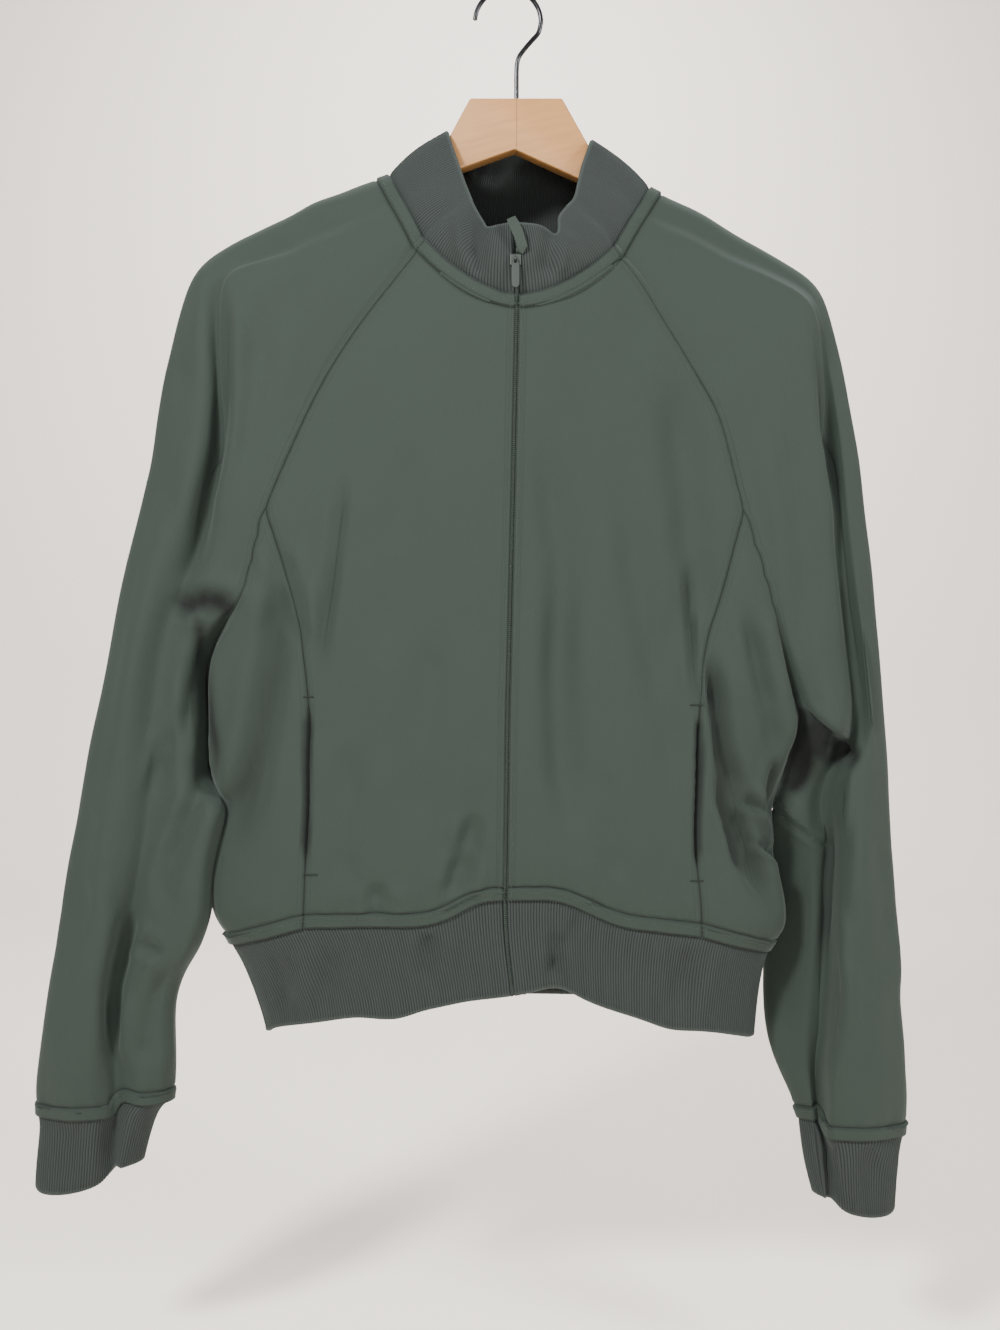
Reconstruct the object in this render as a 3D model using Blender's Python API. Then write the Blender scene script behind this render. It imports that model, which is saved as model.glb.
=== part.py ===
"""Zip-front track jacket with raglan sleeves and rib trims, hung on a wooden hanger.

Lengths are in millimetres until an object is made. X runs to the viewer's right, the
front of the jacket faces -Y and Z is up. The origin is the inside crest of the hook.
The cloth is worked out as one outer surface: rings of points from the neck to the
armpits, then a body tube and two sleeve tubes. Each panel is cut from that surface
along its seams and given its own wall.
"""
import math
from collections import namedtuple

import bmesh
import bpy
import numpy as np
from mathutils import Matrix

MM = 0.001
OBJECT_NAME = "track_jacket"

# Cloth and seams
WALL = 1.8
RIB_WALL = 3.2
SEAM_GAP = 0.45
RIB_GAP = 0.9
STRIP_WIDTH = 7.5
STRIP_RISE = 0.8
STRIP_STEP = 1.2

# Fold radius of the cloth over the hanger and at the edges of its tubes
NECK_EDGE = 11.0
SHOULDER_EDGE = 8.9
SLEEVE_EDGE = 13.0
ROUND_REACH = 24.0
ARMPIT_REACH = 2.6
LAP_BEFORE = 4.0
LAP_AFTER = 5.0
LOBE_WIDE = 50.0
ARC_SHARE = 1.0 - math.cos(math.radians(45.0))

# Columns of points in each stretch of a ring
FRONT_COLUMNS = 8
SIDE_COLUMNS = 4
SLEEVE_COLUMNS = 10
BACK_COLUMNS = 8
NEAR_SEAM = 5.0
OFF_SEAM = 13.0

# Zip
ZIP_HALF_GAP = 1.6
CHAIN_HALF = 1.2
CHAIN_RECESS = 0.5
TAPE_REACH = 7.5
TAPE_WALL = 0.9
TAPE_CLEARANCE = 0.8

Colour = namedtuple("Colour", "red green blue roughness metallic")
CLOTH = Colour(0.060, 0.082, 0.068, 0.85, 0.0)
RIB = Colour(0.048, 0.065, 0.060, 0.9, 0.0)
ZIP_TAPE = Colour(0.035, 0.048, 0.043, 0.7, 0.0)
ZIP_METAL = Colour(0.16, 0.18, 0.17, 0.4, 0.9)
WOOD = Colour(0.62, 0.42, 0.27, 0.5, 0.0)
STEEL = Colour(0.05, 0.05, 0.05, 0.3, 1.0)

# The zip line: x, z and how far it lies in front of the hanger's plane, with the
# centre back's z and how far that lies behind the plane. One row for each section.
Centre = namedtuple("Centre", "zip_x zip_z zip_out back_z back_out")
YOKE_CENTRE = [
    Centre(5.8, -235, 65, -155, 47),
    Centre(5.2, -265, 65, -188, 50),
    Centre(4.6, -295, 64, -224, 52),
    Centre(3.9, -326, 63, -262, 53),
    Centre(3.3, -358, 62, -302, 53),
    Centre(2.5, -391, 61, -344, 52),
    Centre(1.6, -428, 61, -388, 51),
    Centre(0.9, -458, 61, -434, 50),
    Centre(0.3, -482, 61, -470, 49),
    Centre(-0.3, -505, 61, -500, 48),
    Centre(-0.6, -522, 61, -524, 48),
    Centre(-0.8, -536, 61, -546, 47),
]
SKIRT_CENTRE = [
    Centre(-0.8, -536, 61, -546, 47),
    Centre(-1.0, -553, 61, -566, 47),
    Centre(-1.2, -571, 61, -586, 46),
    Centre(-1.5, -590, 61, -606, 46),
    Centre(-1.7, -609, 60, -625, 45),
    Centre(-2.0, -625, 58, -644, 44),
    Centre(-2.3, -640, 54, -664, 41),
]
BAND_CENTRE = [
    Centre(-2.2, -644, 52.5, -673, 39),
    Centre(-1.8, -658, 51, -684, 38),
    Centre(-0.6, -675, 50, -702, 38),
    Centre(1.2, -691, 49, -716, 38),
    Centre(2.8, -705.5, 48, -725, 38),
]
YOKE_STEPS = [2, 2, 2, 2, 2, 2, 2, 1, 1, 1, 1]
SIDE_SEAM_START = 5

# From neck to armpit on each side: the raglan seam, the sleeve's outer edge, where the
# main sleeve crease crosses the row, and how far each stretch stands out in front.
# sag drops the front's row between zip and seam, body is the cloth beside the seam,
# lap is 1 where the sleeve's outer part lies over its inner part.
Yoke = namedtuple(
    "Yoke",
    "seam_x seam_z seam_out sag outer_x outer_z crease inner crease_out outer lap body back_seam")
LEFT_YOKE = [
    Yoke(-56.6, -193, 48, 8, -86, -133, 0.50, 38, 30, 22, 0.0, 50, 24),
    Yoke(-76, -217, 48, 5, -132, -151, 0.60, 40, 32, 22, 0.0, 50, 36),
    Yoke(-99, -246, 47, 3, -176, -172, 0.70, 40, 30, 20, 0.0, 49, 41),
    Yoke(-120, -277, 46, 1, -210, -191, 0.80, 40, 28, 18, 0.0, 47, 42),
    Yoke(-141, -316, 44, 0, -229, -216, 0.69, 41, 28, 26, 0.0, 45, 42),
    Yoke(-166, -374, 42, 0, -243, -271, 0.46, 40, 24, 31, 0.0, 43, 40),
    Yoke(-176, -409, 40, 0, -254, -338, 0.42, 38, 22, 32, 0.0, 42, 37),
    Yoke(-187, -440, 37, 0, -267, -389, 0.45, 35, 22, 31, 0.0, 40, 32),
    Yoke(-210, -470, 5, 0, -280, -448, 0.42, 25, 22, 30, 0.0, 34, 24),
    Yoke(-214, -507, 1, 0, -290, -499, 0.42, 25, 22, 30, 0.0, 31, 18),
    Yoke(-214, -537, 4, 0, -297, -532, 0.42, 25, 21, 29, 0.0, 29, 16),
    Yoke(-212, -561, -2, 0, -302, -560, 0.42, 25, 20, 28, 0.0, 27, 2),
]
RIGHT_YOKE = [
    Yoke(71, -198, 48, 8, 102, -142, 0.50, 38, 30, 22, 0.0, 50, 24),
    Yoke(89, -220, 48, 5, 137, -160, 0.60, 40, 33, 22, 0.0, 50, 36),
    Yoke(107, -249, 47, 3, 174, -182, 0.70, 41, 34, 22, 0.0, 49, 41),
    Yoke(128, -283, 46, 1, 209, -203, 0.80, 41, 32, 20, 0.0, 48, 42),
    Yoke(146, -318, 44, 0, 227, -228, 0.84, 42, 30, 21, 0.0, 46, 42),
    Yoke(161, -376, 43, 0, 239, -281, 0.80, 41, 22, 21, 0.2, 44, 40),
    Yoke(176, -420, 41, 0, 250, -349, 0.68, 40, 20, 25, 0.3, 43, 37),
    Yoke(187, -459, 36, 0, 257, -410, 0.64, 38, 19, 27, 0.4, 41, 33),
    Yoke(198, -499, 24, 0, 264, -482, 0.68, 37, 16, 27, 0.6, 38, 26),
    Yoke(205, -521, 12, 0, 269, -534, 0.62, 37, 12, 28, 0.9, 34, 19),
    Yoke(200, -546, 4, 0, 271, -558, 0.52, 5, 1, 29, 1.0, 28, 17),
    Yoke(190, -582, -2, 0, 272, -578, 0.48, 9, 3, 30, 1.0, 22, 4),
]

# From armpit to hem seam on each side: the side-front seam, the side edge and how far
# the front stands out at the seam and beside the edge.
Skirt = namedtuple("Skirt", "seam_x seam_z seam_out side_x side_z beside")
LEFT_SKIRT = [
    Skirt(-136, -548, 50, -212, -561, 27),
    Skirt(-136, -564, 50, -201, -577, 26),
    Skirt(-136, -582, 50, -205, -594, 26),
    Skirt(-137, -601, 50, -209, -613, 26),
    Skirt(-138, -621, 49, -211.5, -633, 27),
    Skirt(-139, -642, 48, -209, -657, 27),
    Skirt(-140, -661, 44, -199, -679, 21),
]
RIGHT_SKIRT = [
    Skirt(129, -551, 50, 190, -582, 22),
    Skirt(128.5, -568, 50, 190, -600, 23),
    Skirt(128, -586, 50, 190, -618, 24),
    Skirt(128, -605, 50, 194, -634, 26),
    Skirt(129, -625, 49, 198, -650, 27),
    Skirt(131, -646, 48, 198, -667, 26),
    Skirt(132, -667, 44, 187, -684, 21),
]
# The side-front seam between its start on the raglan seam and the armpit row
Point3 = namedtuple("Point3", "x z out")
LEFT_SIDE_FRONT = [
    Point3(-166, -374, 42), Point3(-152, -421, 45), Point3(-141, -465, 48),
    Point3(-136, -501, 50), Point3(-135.5, -523, 50), Point3(-136, -537, 50),
    Point3(-136, -548, 50),
]
RIGHT_SIDE_FRONT = [
    Point3(161, -376, 43), Point3(147, -427, 45), Point3(135, -466, 48),
    Point3(130.5, -499, 50), Point3(129.5, -521, 50), Point3(129, -536, 50),
    Point3(129, -551, 50),
]
# How the hem seam rises and falls between the zip (share 0) and the side-front seam
Wave = namedtuple("Wave", "share drop")
LEFT_WAVE = [Wave(0, 0), Wave(0.16, 0), Wave(0.3, 9.5), Wave(0.45, 9), Wave(0.7, 4), Wave(1, 0)]
RIGHT_WAVE = [Wave(0, 0), Wave(0.15, -4), Wave(0.3, -7), Wave(0.45, 0), Wave(0.6, 3), Wave(1, 0)]
WAVE_REACH = [0.0, 0.03, 0.1, 0.22, 0.4, 0.68, 1.0]

# The band's lower edge in front view, and its side edge from seam to hem
Edge = namedtuple("Edge", "x z")
BAND_BOTTOM = [
    Edge(-173, -742), Edge(-158, -732), Edge(-139, -729), Edge(-108, -723), Edge(-78, -724),
    Edge(-62, -718), Edge(-33, -711), Edge(2.5, -706), Edge(14, -705), Edge(29, -699),
    Edge(40, -703), Edge(57, -712), Edge(89, -723), Edge(110, -731), Edge(151, -736),
    Edge(176, -745),
]
BAND_SIDES = {-1: [-193.5, -187.5, -181.5, -176, -173], 1: [184, 181.5, 179, 177, 176]}
BAND_DROP = [0.12, 0.30, 0.53, 0.77, 1.0]
BAND_OUT = [20, 19, 18, 18, 18]

# Sleeves from the armpit down, then the cuffs: inner edge, crease, outer edge and how
# far each stretch stands out. step lifts the inner part's row beside the crease.
Sleeve = namedtuple(
    "Sleeve",
    "inner_x inner_z crease_x crease_z step outer_x outer_z inner crease_out outer lap back")
LEFT_SLEEVE = [
    Sleeve(-212, -561, -249, -560, 0, -302, -560, 25, 20, 28, 0.0, 24),
    Sleeve(-213, -576, -252, -577, 0, -306, -583, 24, 20, 28, 0.0, 24),
    Sleeve(-210, -593, -254, -596, 0, -310, -604, 24, 20, 28, 0.0, 24),
    Sleeve(-213, -622, -259, -624, 0, -315, -630, 24, 18, 28, 0.1, 23),
    Sleeve(-215, -652, -265, -650, 0, -318, -654, 24, 14, 27, 0.2, 23),
    Sleeve(-221, -677, -270, -675, 0, -322, -679, 22, 11, 26, 0.3, 22),
    Sleeve(-229, -697, -274, -695, 0, -326, -703, 21, 9, 26, 0.3, 21),
    Sleeve(-235, -718, -277, -718, 0, -330, -728, 20, 8, 25, 0.3, 20),
    Sleeve(-237, -742, -278, -742, 2, -334, -753, 20, 8, 25, 0.3, 19),
    Sleeve(-237, -768, -279, -767, 4, -337, -778, 19, 7, 25, 0.3, 18),
    Sleeve(-239, -791, -279, -800, 8, -336, -800, 17, 6, 22, 0.4, 16),
]
RIGHT_SLEEVE = [
    Sleeve(190, -582, 232, -580, 0, 272, -578, 9, 3, 30, 1.0, 18),
    Sleeve(196, -605, 231, -602, 0, 273, -604, 12, 3, 30, 1.0, 19),
    Sleeve(199, -627, 230, -624, 0, 275, -627, 12, 4, 31, 1.0, 19),
    Sleeve(203, -648, 229, -648, 0, 277, -652, 12, 4, 31, 1.0, 19),
    Sleeve(204, -669, 229, -672, 0, 279, -677, 12, 4, 31, 1.0, 19),
    Sleeve(201, -693, 228, -695, 0, 280, -700, 12, 4, 31, 1.0, 18),
    Sleeve(198, -718, 226, -718, 0, 281, -723, 12, 4, 31, 1.0, 18),
    Sleeve(196, -742, 225, -740, 0, 283, -747, 12, 4, 30, 1.0, 17),
    Sleeve(196, -763, 223, -763, 2, 284, -769, 12, 4, 30, 1.0, 16),
    Sleeve(201, -783, 223, -784, 4, 285, -789, 12, 4, 29, 1.0, 15),
    Sleeve(207, -804, 223, -811, 7, 283, -814, 11, 4, 27, 1.0, 14),
]
LEFT_CUFF = [
    Sleeve(-248, -798, -281, -807, 6, -334, -809, 16, 7, 20, 0.4, 15),
    Sleeve(-254, -813, -283, -823, 6, -335, -826, 15, 5, 18, 0.4, 14),
    Sleeve(-260, -834, -285, -845, 6, -337, -850, 14, 5, 17, 0.4, 14),
]
RIGHT_CUFF = [
    Sleeve(209, -815, 226, -823, 7, 279, -825, 11, 5, 25, 1.0, 13),
    Sleeve(212, -835, 228, -839, 4, 277, -843, 12, 7, 22, 1.0, 12),
    Sleeve(217, -857, 231, -861, 2, 276, -865, 12, 9, 19, 0.9, 12),
]
CUFF_BELLY = 6.0

# Largest folds: three points along each valley, its half width and its depth
Fold = namedtuple("Fold", "face x1 z1 x2 z2 x3 z3 half_width depth")
FOLDS = [
    Fold("front", -145, -410, -163, -471, -182, -600, 15, 5),
    Fold("front", 114, -262, 122, -410, 128, -500, 15, 6),
    Fold("front", 27, -323, 34, -454, 50, -618, 14, 6),
    Fold("front", -16, -557, -24, -600, -34, -634, 14, 5),
    Fold("front", 131, -512, 139, -578, 160, -650, 14, 6),
    Fold("front", 148, -478, 158, -556, 176, -640, 13, 5),
    Fold("back", 0, -250, 6, -400, 10, -600, 30, 5),
    Fold("back", -90, -300, -110, -430, -140, -600, 16, 7),
    Fold("back", 92, -310, 108, -440, 150, -620, 16, 7),
    Fold("back", -40, -420, -52, -520, -66, -640, 14, 5),
    Fold("back", 46, -430, 60, -530, 80, -640, 14, 5),
]
FOLD_FADE = 0.22

# The collar's top edge on each side. share runs along the neck seam: 0 at the zip, 1 at
# the shoulder's ridge and 2 at the centre back.
Rim = namedtuple("Rim", "share x y z")
LEFT_RIM = [
    Rim(0.00, 1.2, -63, -186), Rim(0.18, -14, -61, -190), Rim(0.46, -24, -47, -168),
    Rim(0.70, -31, -33, -146), Rim(0.83, -38, -20, -122), Rim(0.93, -43, -12, -105),
    Rim(1.00, -44.5, 0, -100.5), Rim(1.09, -46, 12, -100), Rim(1.28, -49, 27, -97),
    Rim(2.00, 6, 49, -91),
]
RIGHT_RIM = [
    Rim(0.00, 5.0, -63, -186), Rim(0.14, 19, -62, -187), Rim(0.28, 34, -58, -191),
    Rim(0.42, 35, -49, -175), Rim(0.58, 46, -37, -160), Rim(0.79, 52, -22, -132),
    Rim(0.93, 58.5, -12, -112), Rim(1.00, 60.5, 0, -107), Rim(1.09, 62, 12, -106),
    Rim(1.26, 64, 28, -102), Rim(2.00, 6, 49, -91),
]
COLLAR_ROWS = 6
COLLAR_BULGE = 3.5
NECK_BACK_SEAM = {-1: (-13, 46), 1: (13, 45)}

# Hanger
WOOD_HALF = 6.0
WOOD_ROUND = 4.5
WOOD_CLEARANCE = 1.4
WOOD_TOP_Z = -78.5
WOOD_CROWN = [Edge(-41.3, -105.0), Edge(-27, WOOD_TOP_Z), Edge(38.5, WOOD_TOP_Z), Edge(57.0, -111.6)]
WOOD_NOTCH = Edge(4.6, -115)
WOOD_LOWER = {-1: [Edge(-33, -128.5), Edge(-110, -172), Edge(-206, -213)],
              1: [Edge(49.5, -135.5), Edge(120, -180), Edge(205, -222)]}
WOOD_REACH = 211.0
HOOK_WIRE = 1.7
HOOK_BEND = 23.6
HOOK_CENTRE = (0.0, -HOOK_BEND + HOOK_WIRE)
HOOK_STEM_X = 6.1
HOOK_SOCKET = 14.0
HOOK_TAIL = [(21.8, -29.5), (17.0, -35.3), (11.9, -41.2), (7.9, -46.9), (6.4, -52.8), (6.1, -60.0)]

# Slider and pull. The bail is a half ring of wire round the pull's cross-bar.
SLIDER_Z = -213.0
SLIDER_SIZE = (7.6, 2.4, 8.0)
SLIDER_ROUND = 0.8
BAIL_BEND = 1.7
BAIL_WIRE = 0.5
BAR_HALF = 0.55
BAR_CLEAR = 0.95
SLOT_HALF = 0.85
SLOT_END = 2.65
PULL_EYE_HALF = 1.9
PULL_HALF = 2.6
PULL_SHOULDER = 4.6
PULL_LENGTH = 19.0
PULL_WALL = 1.3
PULL_ROUND = 0.3

# The tape ends above the slider: centre of each section, half width and half thickness
TapeEnd = namedtuple("TapeEnd", "x out z half thick")
RIGHT_TAPE_END = [
    TapeEnd(7.0, 69.4, -208, 2.6, 0.5), TapeEnd(9.0, 71.0, -204.5, 3.4, 0.5),
    TapeEnd(6.6, 71.6, -196.5, 3.5, 0.5), TapeEnd(3.6, 70.6, -189.5, 3.4, 0.5),
    TapeEnd(1.6, 68.6, -185, 3.0, 0.5),
]
BOX_SIZE = (2.5, 3.2, 8.0)
BOX_ROUND = 0.5


def smooth_rows(table, steps):
    """Rows of numbers along a smooth curve through the table's rows."""
    rows = np.array(table, dtype=float)
    count = len(rows)
    if isinstance(steps, int):
        steps = [steps] * (count - 1)
    out = []
    for i, parts in enumerate(steps):
        before, start, end = rows[max(i - 1, 0)], rows[i], rows[i + 1]
        after = rows[min(i + 2, count - 1)]
        for part in range(parts):
            t = part / parts
            out.append(0.5 * (2 * start + (end - before) * t
                              + (2 * before - 5 * start + 4 * end - after) * t * t
                              + (3 * start - before - 3 * end + after) * t ** 3))
    out.append(rows[-1])
    return out


def mix(a, b, share):
    """Point or number at a share of the way from a to b."""
    return a + (b - a) * share


def ease(value):
    """Smooth step from 0 to 1."""
    t = min(max(value, 0.0), 1.0)
    return t * t * (3 - 2 * t)


def rounded(gap):
    """Share of the full depth that a rounded edge has at a distance from the edge."""
    return math.sqrt(1.0 - (1.0 - min(gap / ROUND_REACH, 1.0)) ** 2)


def beside_seam(edge, full):
    """Where the two points next to a seam or edge lie, and how far each stands out."""
    return (NEAR_SEAM, OFF_SEAM, mix(edge, full, rounded(NEAR_SEAM)),
            mix(edge, full, rounded(OFF_SEAM)))


def point(x, out, z):
    """Point at x and z, standing out in front of the hanger's plane."""
    return np.array((x, -out, z), dtype=float)


def fold_depth(face, x, z):
    """How far the main folds sink into one face of the jacket at x, z."""
    total = 0.0
    for fold in FOLDS:
        if fold.face != face:
            continue
        knots = np.array([(fold.x1, fold.z1), (fold.x2, fold.z2), (fold.x3, fold.z3)], dtype=float)
        nearest, along = 1e9, 0.0
        for i in (0, 1):
            run = knots[i + 1] - knots[i]
            t = np.clip(np.dot((x, z) - knots[i], run) / np.dot(run, run), 0.0, 1.0)
            distance = np.linalg.norm((x, z) - (knots[i] + run * t))
            if distance < nearest:
                nearest, along = distance, (i + t) / 2
        ends = ease(along / FOLD_FADE) * ease((1 - along) / FOLD_FADE)
        total += fold.depth * ends * math.exp(-(nearest / fold.half_width) ** 2)
    return total


def front_stretch(centre, side, seam, sag, wave_share, waves):
    """Points from the zip's edge to the first seam of one side."""
    start = np.array((centre.zip_x + side * ZIP_HALF_GAP, centre.zip_z, centre.zip_out))
    out = []
    for column in range(FRONT_COLUMNS + 1):
        share = column / FRONT_COLUMNS
        x, z = mix(start[0], seam[0], share), mix(start[1], seam[1], share)
        z -= sag * 4 * share * (1 - share)
        z -= wave_share * np.interp(share, [w.share for w in waves], [w.drop for w in waves])
        depth = seam[2] + (start[2] - seam[2]) * (1 - share ** 2)
        if column < FRONT_COLUMNS:
            depth -= fold_depth("front", x, z) * min(1.0, share * 5)
        out.append(point(x, depth, z))
    return out


def side_stretch(start, end, beside, columns):
    """Points from the side-front seam to the raglan seam or the side edge."""
    length = math.dist(start[:2], end[:2])
    if columns < SIDE_COLUMNS:
        shares = [i / max(columns, 1) for i in range(columns + 1)]
    else:
        off, near = 1 - OFF_SEAM / length, 1 - NEAR_SEAM / length
        shares = [0.0, 0.45 * off, off, near, 1.0]
    out = []
    for share in shares:
        x, z = mix(start[0], end[0], share), mix(start[1], end[1], share)
        full = mix(start[2], beside, share ** 1.6)
        depth = end[2] + (full - end[2]) * rounded((1 - share) * length)
        if 0 < share < 1:
            depth -= fold_depth("front", x, z) * rounded((1 - share) * length)
        out.append(point(x, depth if share > 0 else start[2], z))
    return out


def outer_edge(radius, depth, length):
    """How far a rounded outer edge stands out at its radius and half way round."""
    full = mix(0.35, 0.75, ease((LOBE_WIDE - length) / LOBE_WIDE * 2.0))
    round_out = radius + full * max(depth - radius, 0.0)
    return round_out, mix(radius, round_out, 0.5) * math.sqrt(0.5)


def sleeve_front(inner, crease, outer, step, depths, lap, near, radius):
    """Front points of a sleeve row: inner edge or seam, crease, outer edge."""
    inner_out, crease_out, outer_out, edge_out = depths
    inner, crease, outer = np.array(inner), np.array(crease), np.array(outer)
    first, last = np.linalg.norm(crease - inner), np.linalg.norm(outer - crease)
    before_gap, after_gap = mix(9.0, LAP_BEFORE, lap), mix(8.0, LAP_AFTER, lap)
    before = mix(inner, crease, 1 - before_gap / first) + np.array((0.0, step))
    near_at = mix(inner, before, min(near[0] / first, 0.25))
    off_at = mix(inner, before, min(near[1] / first, 0.55))
    after = mix(crease, outer, min(after_gap / last, 0.22))
    radius = min(radius, 0.6 * last)
    turn = mix(crease, outer, 1 - radius / last)
    edge = mix(crease, outer, 1 - ARC_SHARE * radius / last)
    places = [inner, near_at, off_at, mix(off_at, before, 0.5), before, crease, after,
              mix(after, turn, 0.5), turn, edge, outer]
    soft_before, soft_after = mix(inner_out, crease_out, 0.4), mix(crease_out, outer_out, 0.6)
    round_out, arc_out = outer_edge(radius, outer_out, last)
    outs = [edge_out, near[2], near[3], inner_out, mix(soft_before, crease_out, lap),
            mix(crease_out, outer_out * 0.75, lap), mix(soft_after, outer_out, lap), outer_out,
            round_out, arc_out, 0.0]
    return [point(at[0], out, at[1]) for at, out in zip(places, outs)]


def sleeve_back(outer, inner, depth, inner_back, near, radius):
    """Back points of a sleeve row, from its outer edge to the inner edge or back seam."""
    outer, inner = np.array(outer), np.array(inner)
    length = np.linalg.norm(inner - outer)
    radius = min(radius, 0.3 * length)
    turn, off = radius / length, 1 - min(near[1] / length, 0.35)
    shares = [0.0, ARC_SHARE * turn, turn, mix(turn, off, 0.33), mix(turn, off, 0.67), off,
              1 - (1 - off) * near[0] / near[1], 1.0]
    round_out, arc_out = outer_edge(radius, depth, length)
    outs = [0.0, arc_out, round_out, depth, depth, near[3], near[2], inner_back]
    places = [mix(outer, inner, share) for share in shares]
    return [point(at[0], -out, at[1]) for at, out in zip(places, outs)]


def back_stretch(seam, centre, near, sag):
    """Back points from the back seam or side edge to the centre back."""
    start, end = np.array(seam[:2]), np.array((4.0, centre.back_z))
    length = np.linalg.norm(end - start)
    first, second = near[0] / length, near[1] / length
    rest = [mix(second, 1.0, i / (BACK_COLUMNS - 2)) for i in range(BACK_COLUMNS - 1)]
    out = []
    for share in [0.0, first] + rest:
        at = mix(start, end, share)
        z = at[1] - sag * 4 * share * (1 - share)
        if share == 0.0:
            depth = seam[2]
        elif share == first:
            depth = near[2]
        else:
            run = (share - second) / (1 - second)
            depth = near[3] + (centre.back_out - near[3]) * (1 - (1 - run) ** 2)
            depth -= fold_depth("back", at[0], z) * (1.0 if share < 1.0 else 0.0)
        out.append(point(at[0], -depth, z))
    return out


def with_strip(rows, at_end):
    """Rows with two more beside the seam row, for the topstitched strip and its step."""
    seam, next_row = (rows[-1], rows[-2]) if at_end else (rows[0], rows[1])
    extra = []
    for distance in (STRIP_WIDTH, STRIP_WIDTH + STRIP_STEP):
        line = []
        for a, b in zip(seam, next_row):
            line.append(a + (b - a) * (distance / np.linalg.norm(b - a)))
        extra.append(line)
    if at_end:
        return rows[:-1] + [extra[1], extra[0], seam]
    return [seam] + extra + rows[1:]


def yoke_side(side):
    """Rows of one side from the neck seam to the armpit, by stretch of the ring."""
    stations = LEFT_YOKE if side < 0 else RIGHT_YOKE
    waves = LEFT_WAVE if side < 0 else RIGHT_WAVE
    side_front = LEFT_SIDE_FRONT if side < 0 else RIGHT_SIDE_FRONT
    centres = [Centre(*row) for row in smooth_rows(YOKE_CENTRE, YOKE_STEPS)]
    rows = [Yoke(*row) for row in smooth_rows(stations, YOKE_STEPS)]
    start = sum(YOKE_STEPS[:SIDE_SEAM_START])
    seams = [Point3(*row) for row in smooth_rows(side_front, YOKE_STEPS[SIDE_SEAM_START:])]
    places = {"front": [], "side": [], "sleeve": [], "sleeve_back": [], "back": []}
    last = len(rows) - 1
    shift_x, shift_z = NECK_BACK_SEAM[side]
    for i, (centre, row) in enumerate(zip(centres, rows)):
        raglan = (row.seam_x, row.seam_z, row.seam_out)
        first_seam = raglan if i < start else tuple(seams[i - start])
        if i == start:
            first_seam = raglan
        places["front"].append(front_stretch(centre, side, first_seam, row.sag, 0.0, waves))
        if i >= start:
            columns = min(i - start, SIDE_COLUMNS)
            places["side"].append(side_stretch(first_seam, raglan, row.body, columns))
        share = i / last
        pull = (1 - share) ** 1.3
        back_seam = (row.seam_x + shift_x * pull, row.seam_z + shift_z * pull)
        if i == last:
            back_seam = (row.seam_x, row.seam_z)
        neck = ease(share * 9)
        shoulder = mix(NECK_EDGE, SHOULDER_EDGE, neck)
        radius = mix(shoulder, SLEEVE_EDGE, ease((share - 0.35) / 0.35))
        crease = (mix(row.seam_x, row.outer_x, row.crease), mix(row.seam_z, row.outer_z, row.crease))
        near = beside_seam(row.seam_out, row.inner)
        places["sleeve"].append(sleeve_front(
            raglan[:2], crease, (row.outer_x, row.outer_z), 0.0,
            (row.inner, row.crease_out, row.outer, row.seam_out), row.lap, near, radius))
        sleeve_depth = mix(16.0, 30.0, ease(share * 2.5))
        sleeve_depth = mix(sleeve_depth, 24.0, ease((share - 0.6) / 0.4))
        if side > 0:
            sleeve_depth = mix(sleeve_depth, 18.0, ease((share - 0.8) / 0.2))
        near_back = beside_seam(row.back_seam, sleeve_depth)
        places["sleeve_back"].append(sleeve_back(
            (row.outer_x, row.outer_z), back_seam, sleeve_depth, row.back_seam, near_back, radius))
        body_back = mix(min(row.back_seam + 4, centre.back_out), 26.0, ease((share - 0.7) / 0.3))
        near_body = beside_seam(row.back_seam, body_back)
        places["back"].append(back_stretch(
            (*back_seam, row.back_seam), centre, near_body, 5.0 * (1 - share)))
    armpit = places["sleeve"][-1][0]
    for name, column in (("side", -1), ("sleeve_back", -1), ("back", 0)):
        places[name][-1][column] = armpit
    for name in ("front", "sleeve", "sleeve_back", "back"):
        places[name] = with_strip(places[name], at_end=False)
    return places


def skirt_side(side, yoke):
    """Rows of one side from the armpit row to the hem seam."""
    table = LEFT_SKIRT if side < 0 else RIGHT_SKIRT
    waves = LEFT_WAVE if side < 0 else RIGHT_WAVE
    places = {"front": [yoke["front"][-1]], "side": [yoke["side"][-1]], "back": [yoke["back"][-1]]}
    for i in range(1, len(table)):
        row, centre, reach = table[i], SKIRT_CENTRE[i], WAVE_REACH[i]
        seam = (row.seam_x, row.seam_z, row.seam_out)
        edge = (row.side_x, row.side_z, 0.0)
        places["front"].append(front_stretch(centre, side, seam, 0.0, reach, waves))
        places["side"].append(side_stretch(seam, edge, row.beside, SIDE_COLUMNS))
        near = beside_seam(0.0, row.beside)
        places["back"].append(back_stretch((row.side_x, row.side_z, 0.0), centre, near, 0.0))
    return {name: with_strip(rows, at_end=True) for name, rows in places.items()}


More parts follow.
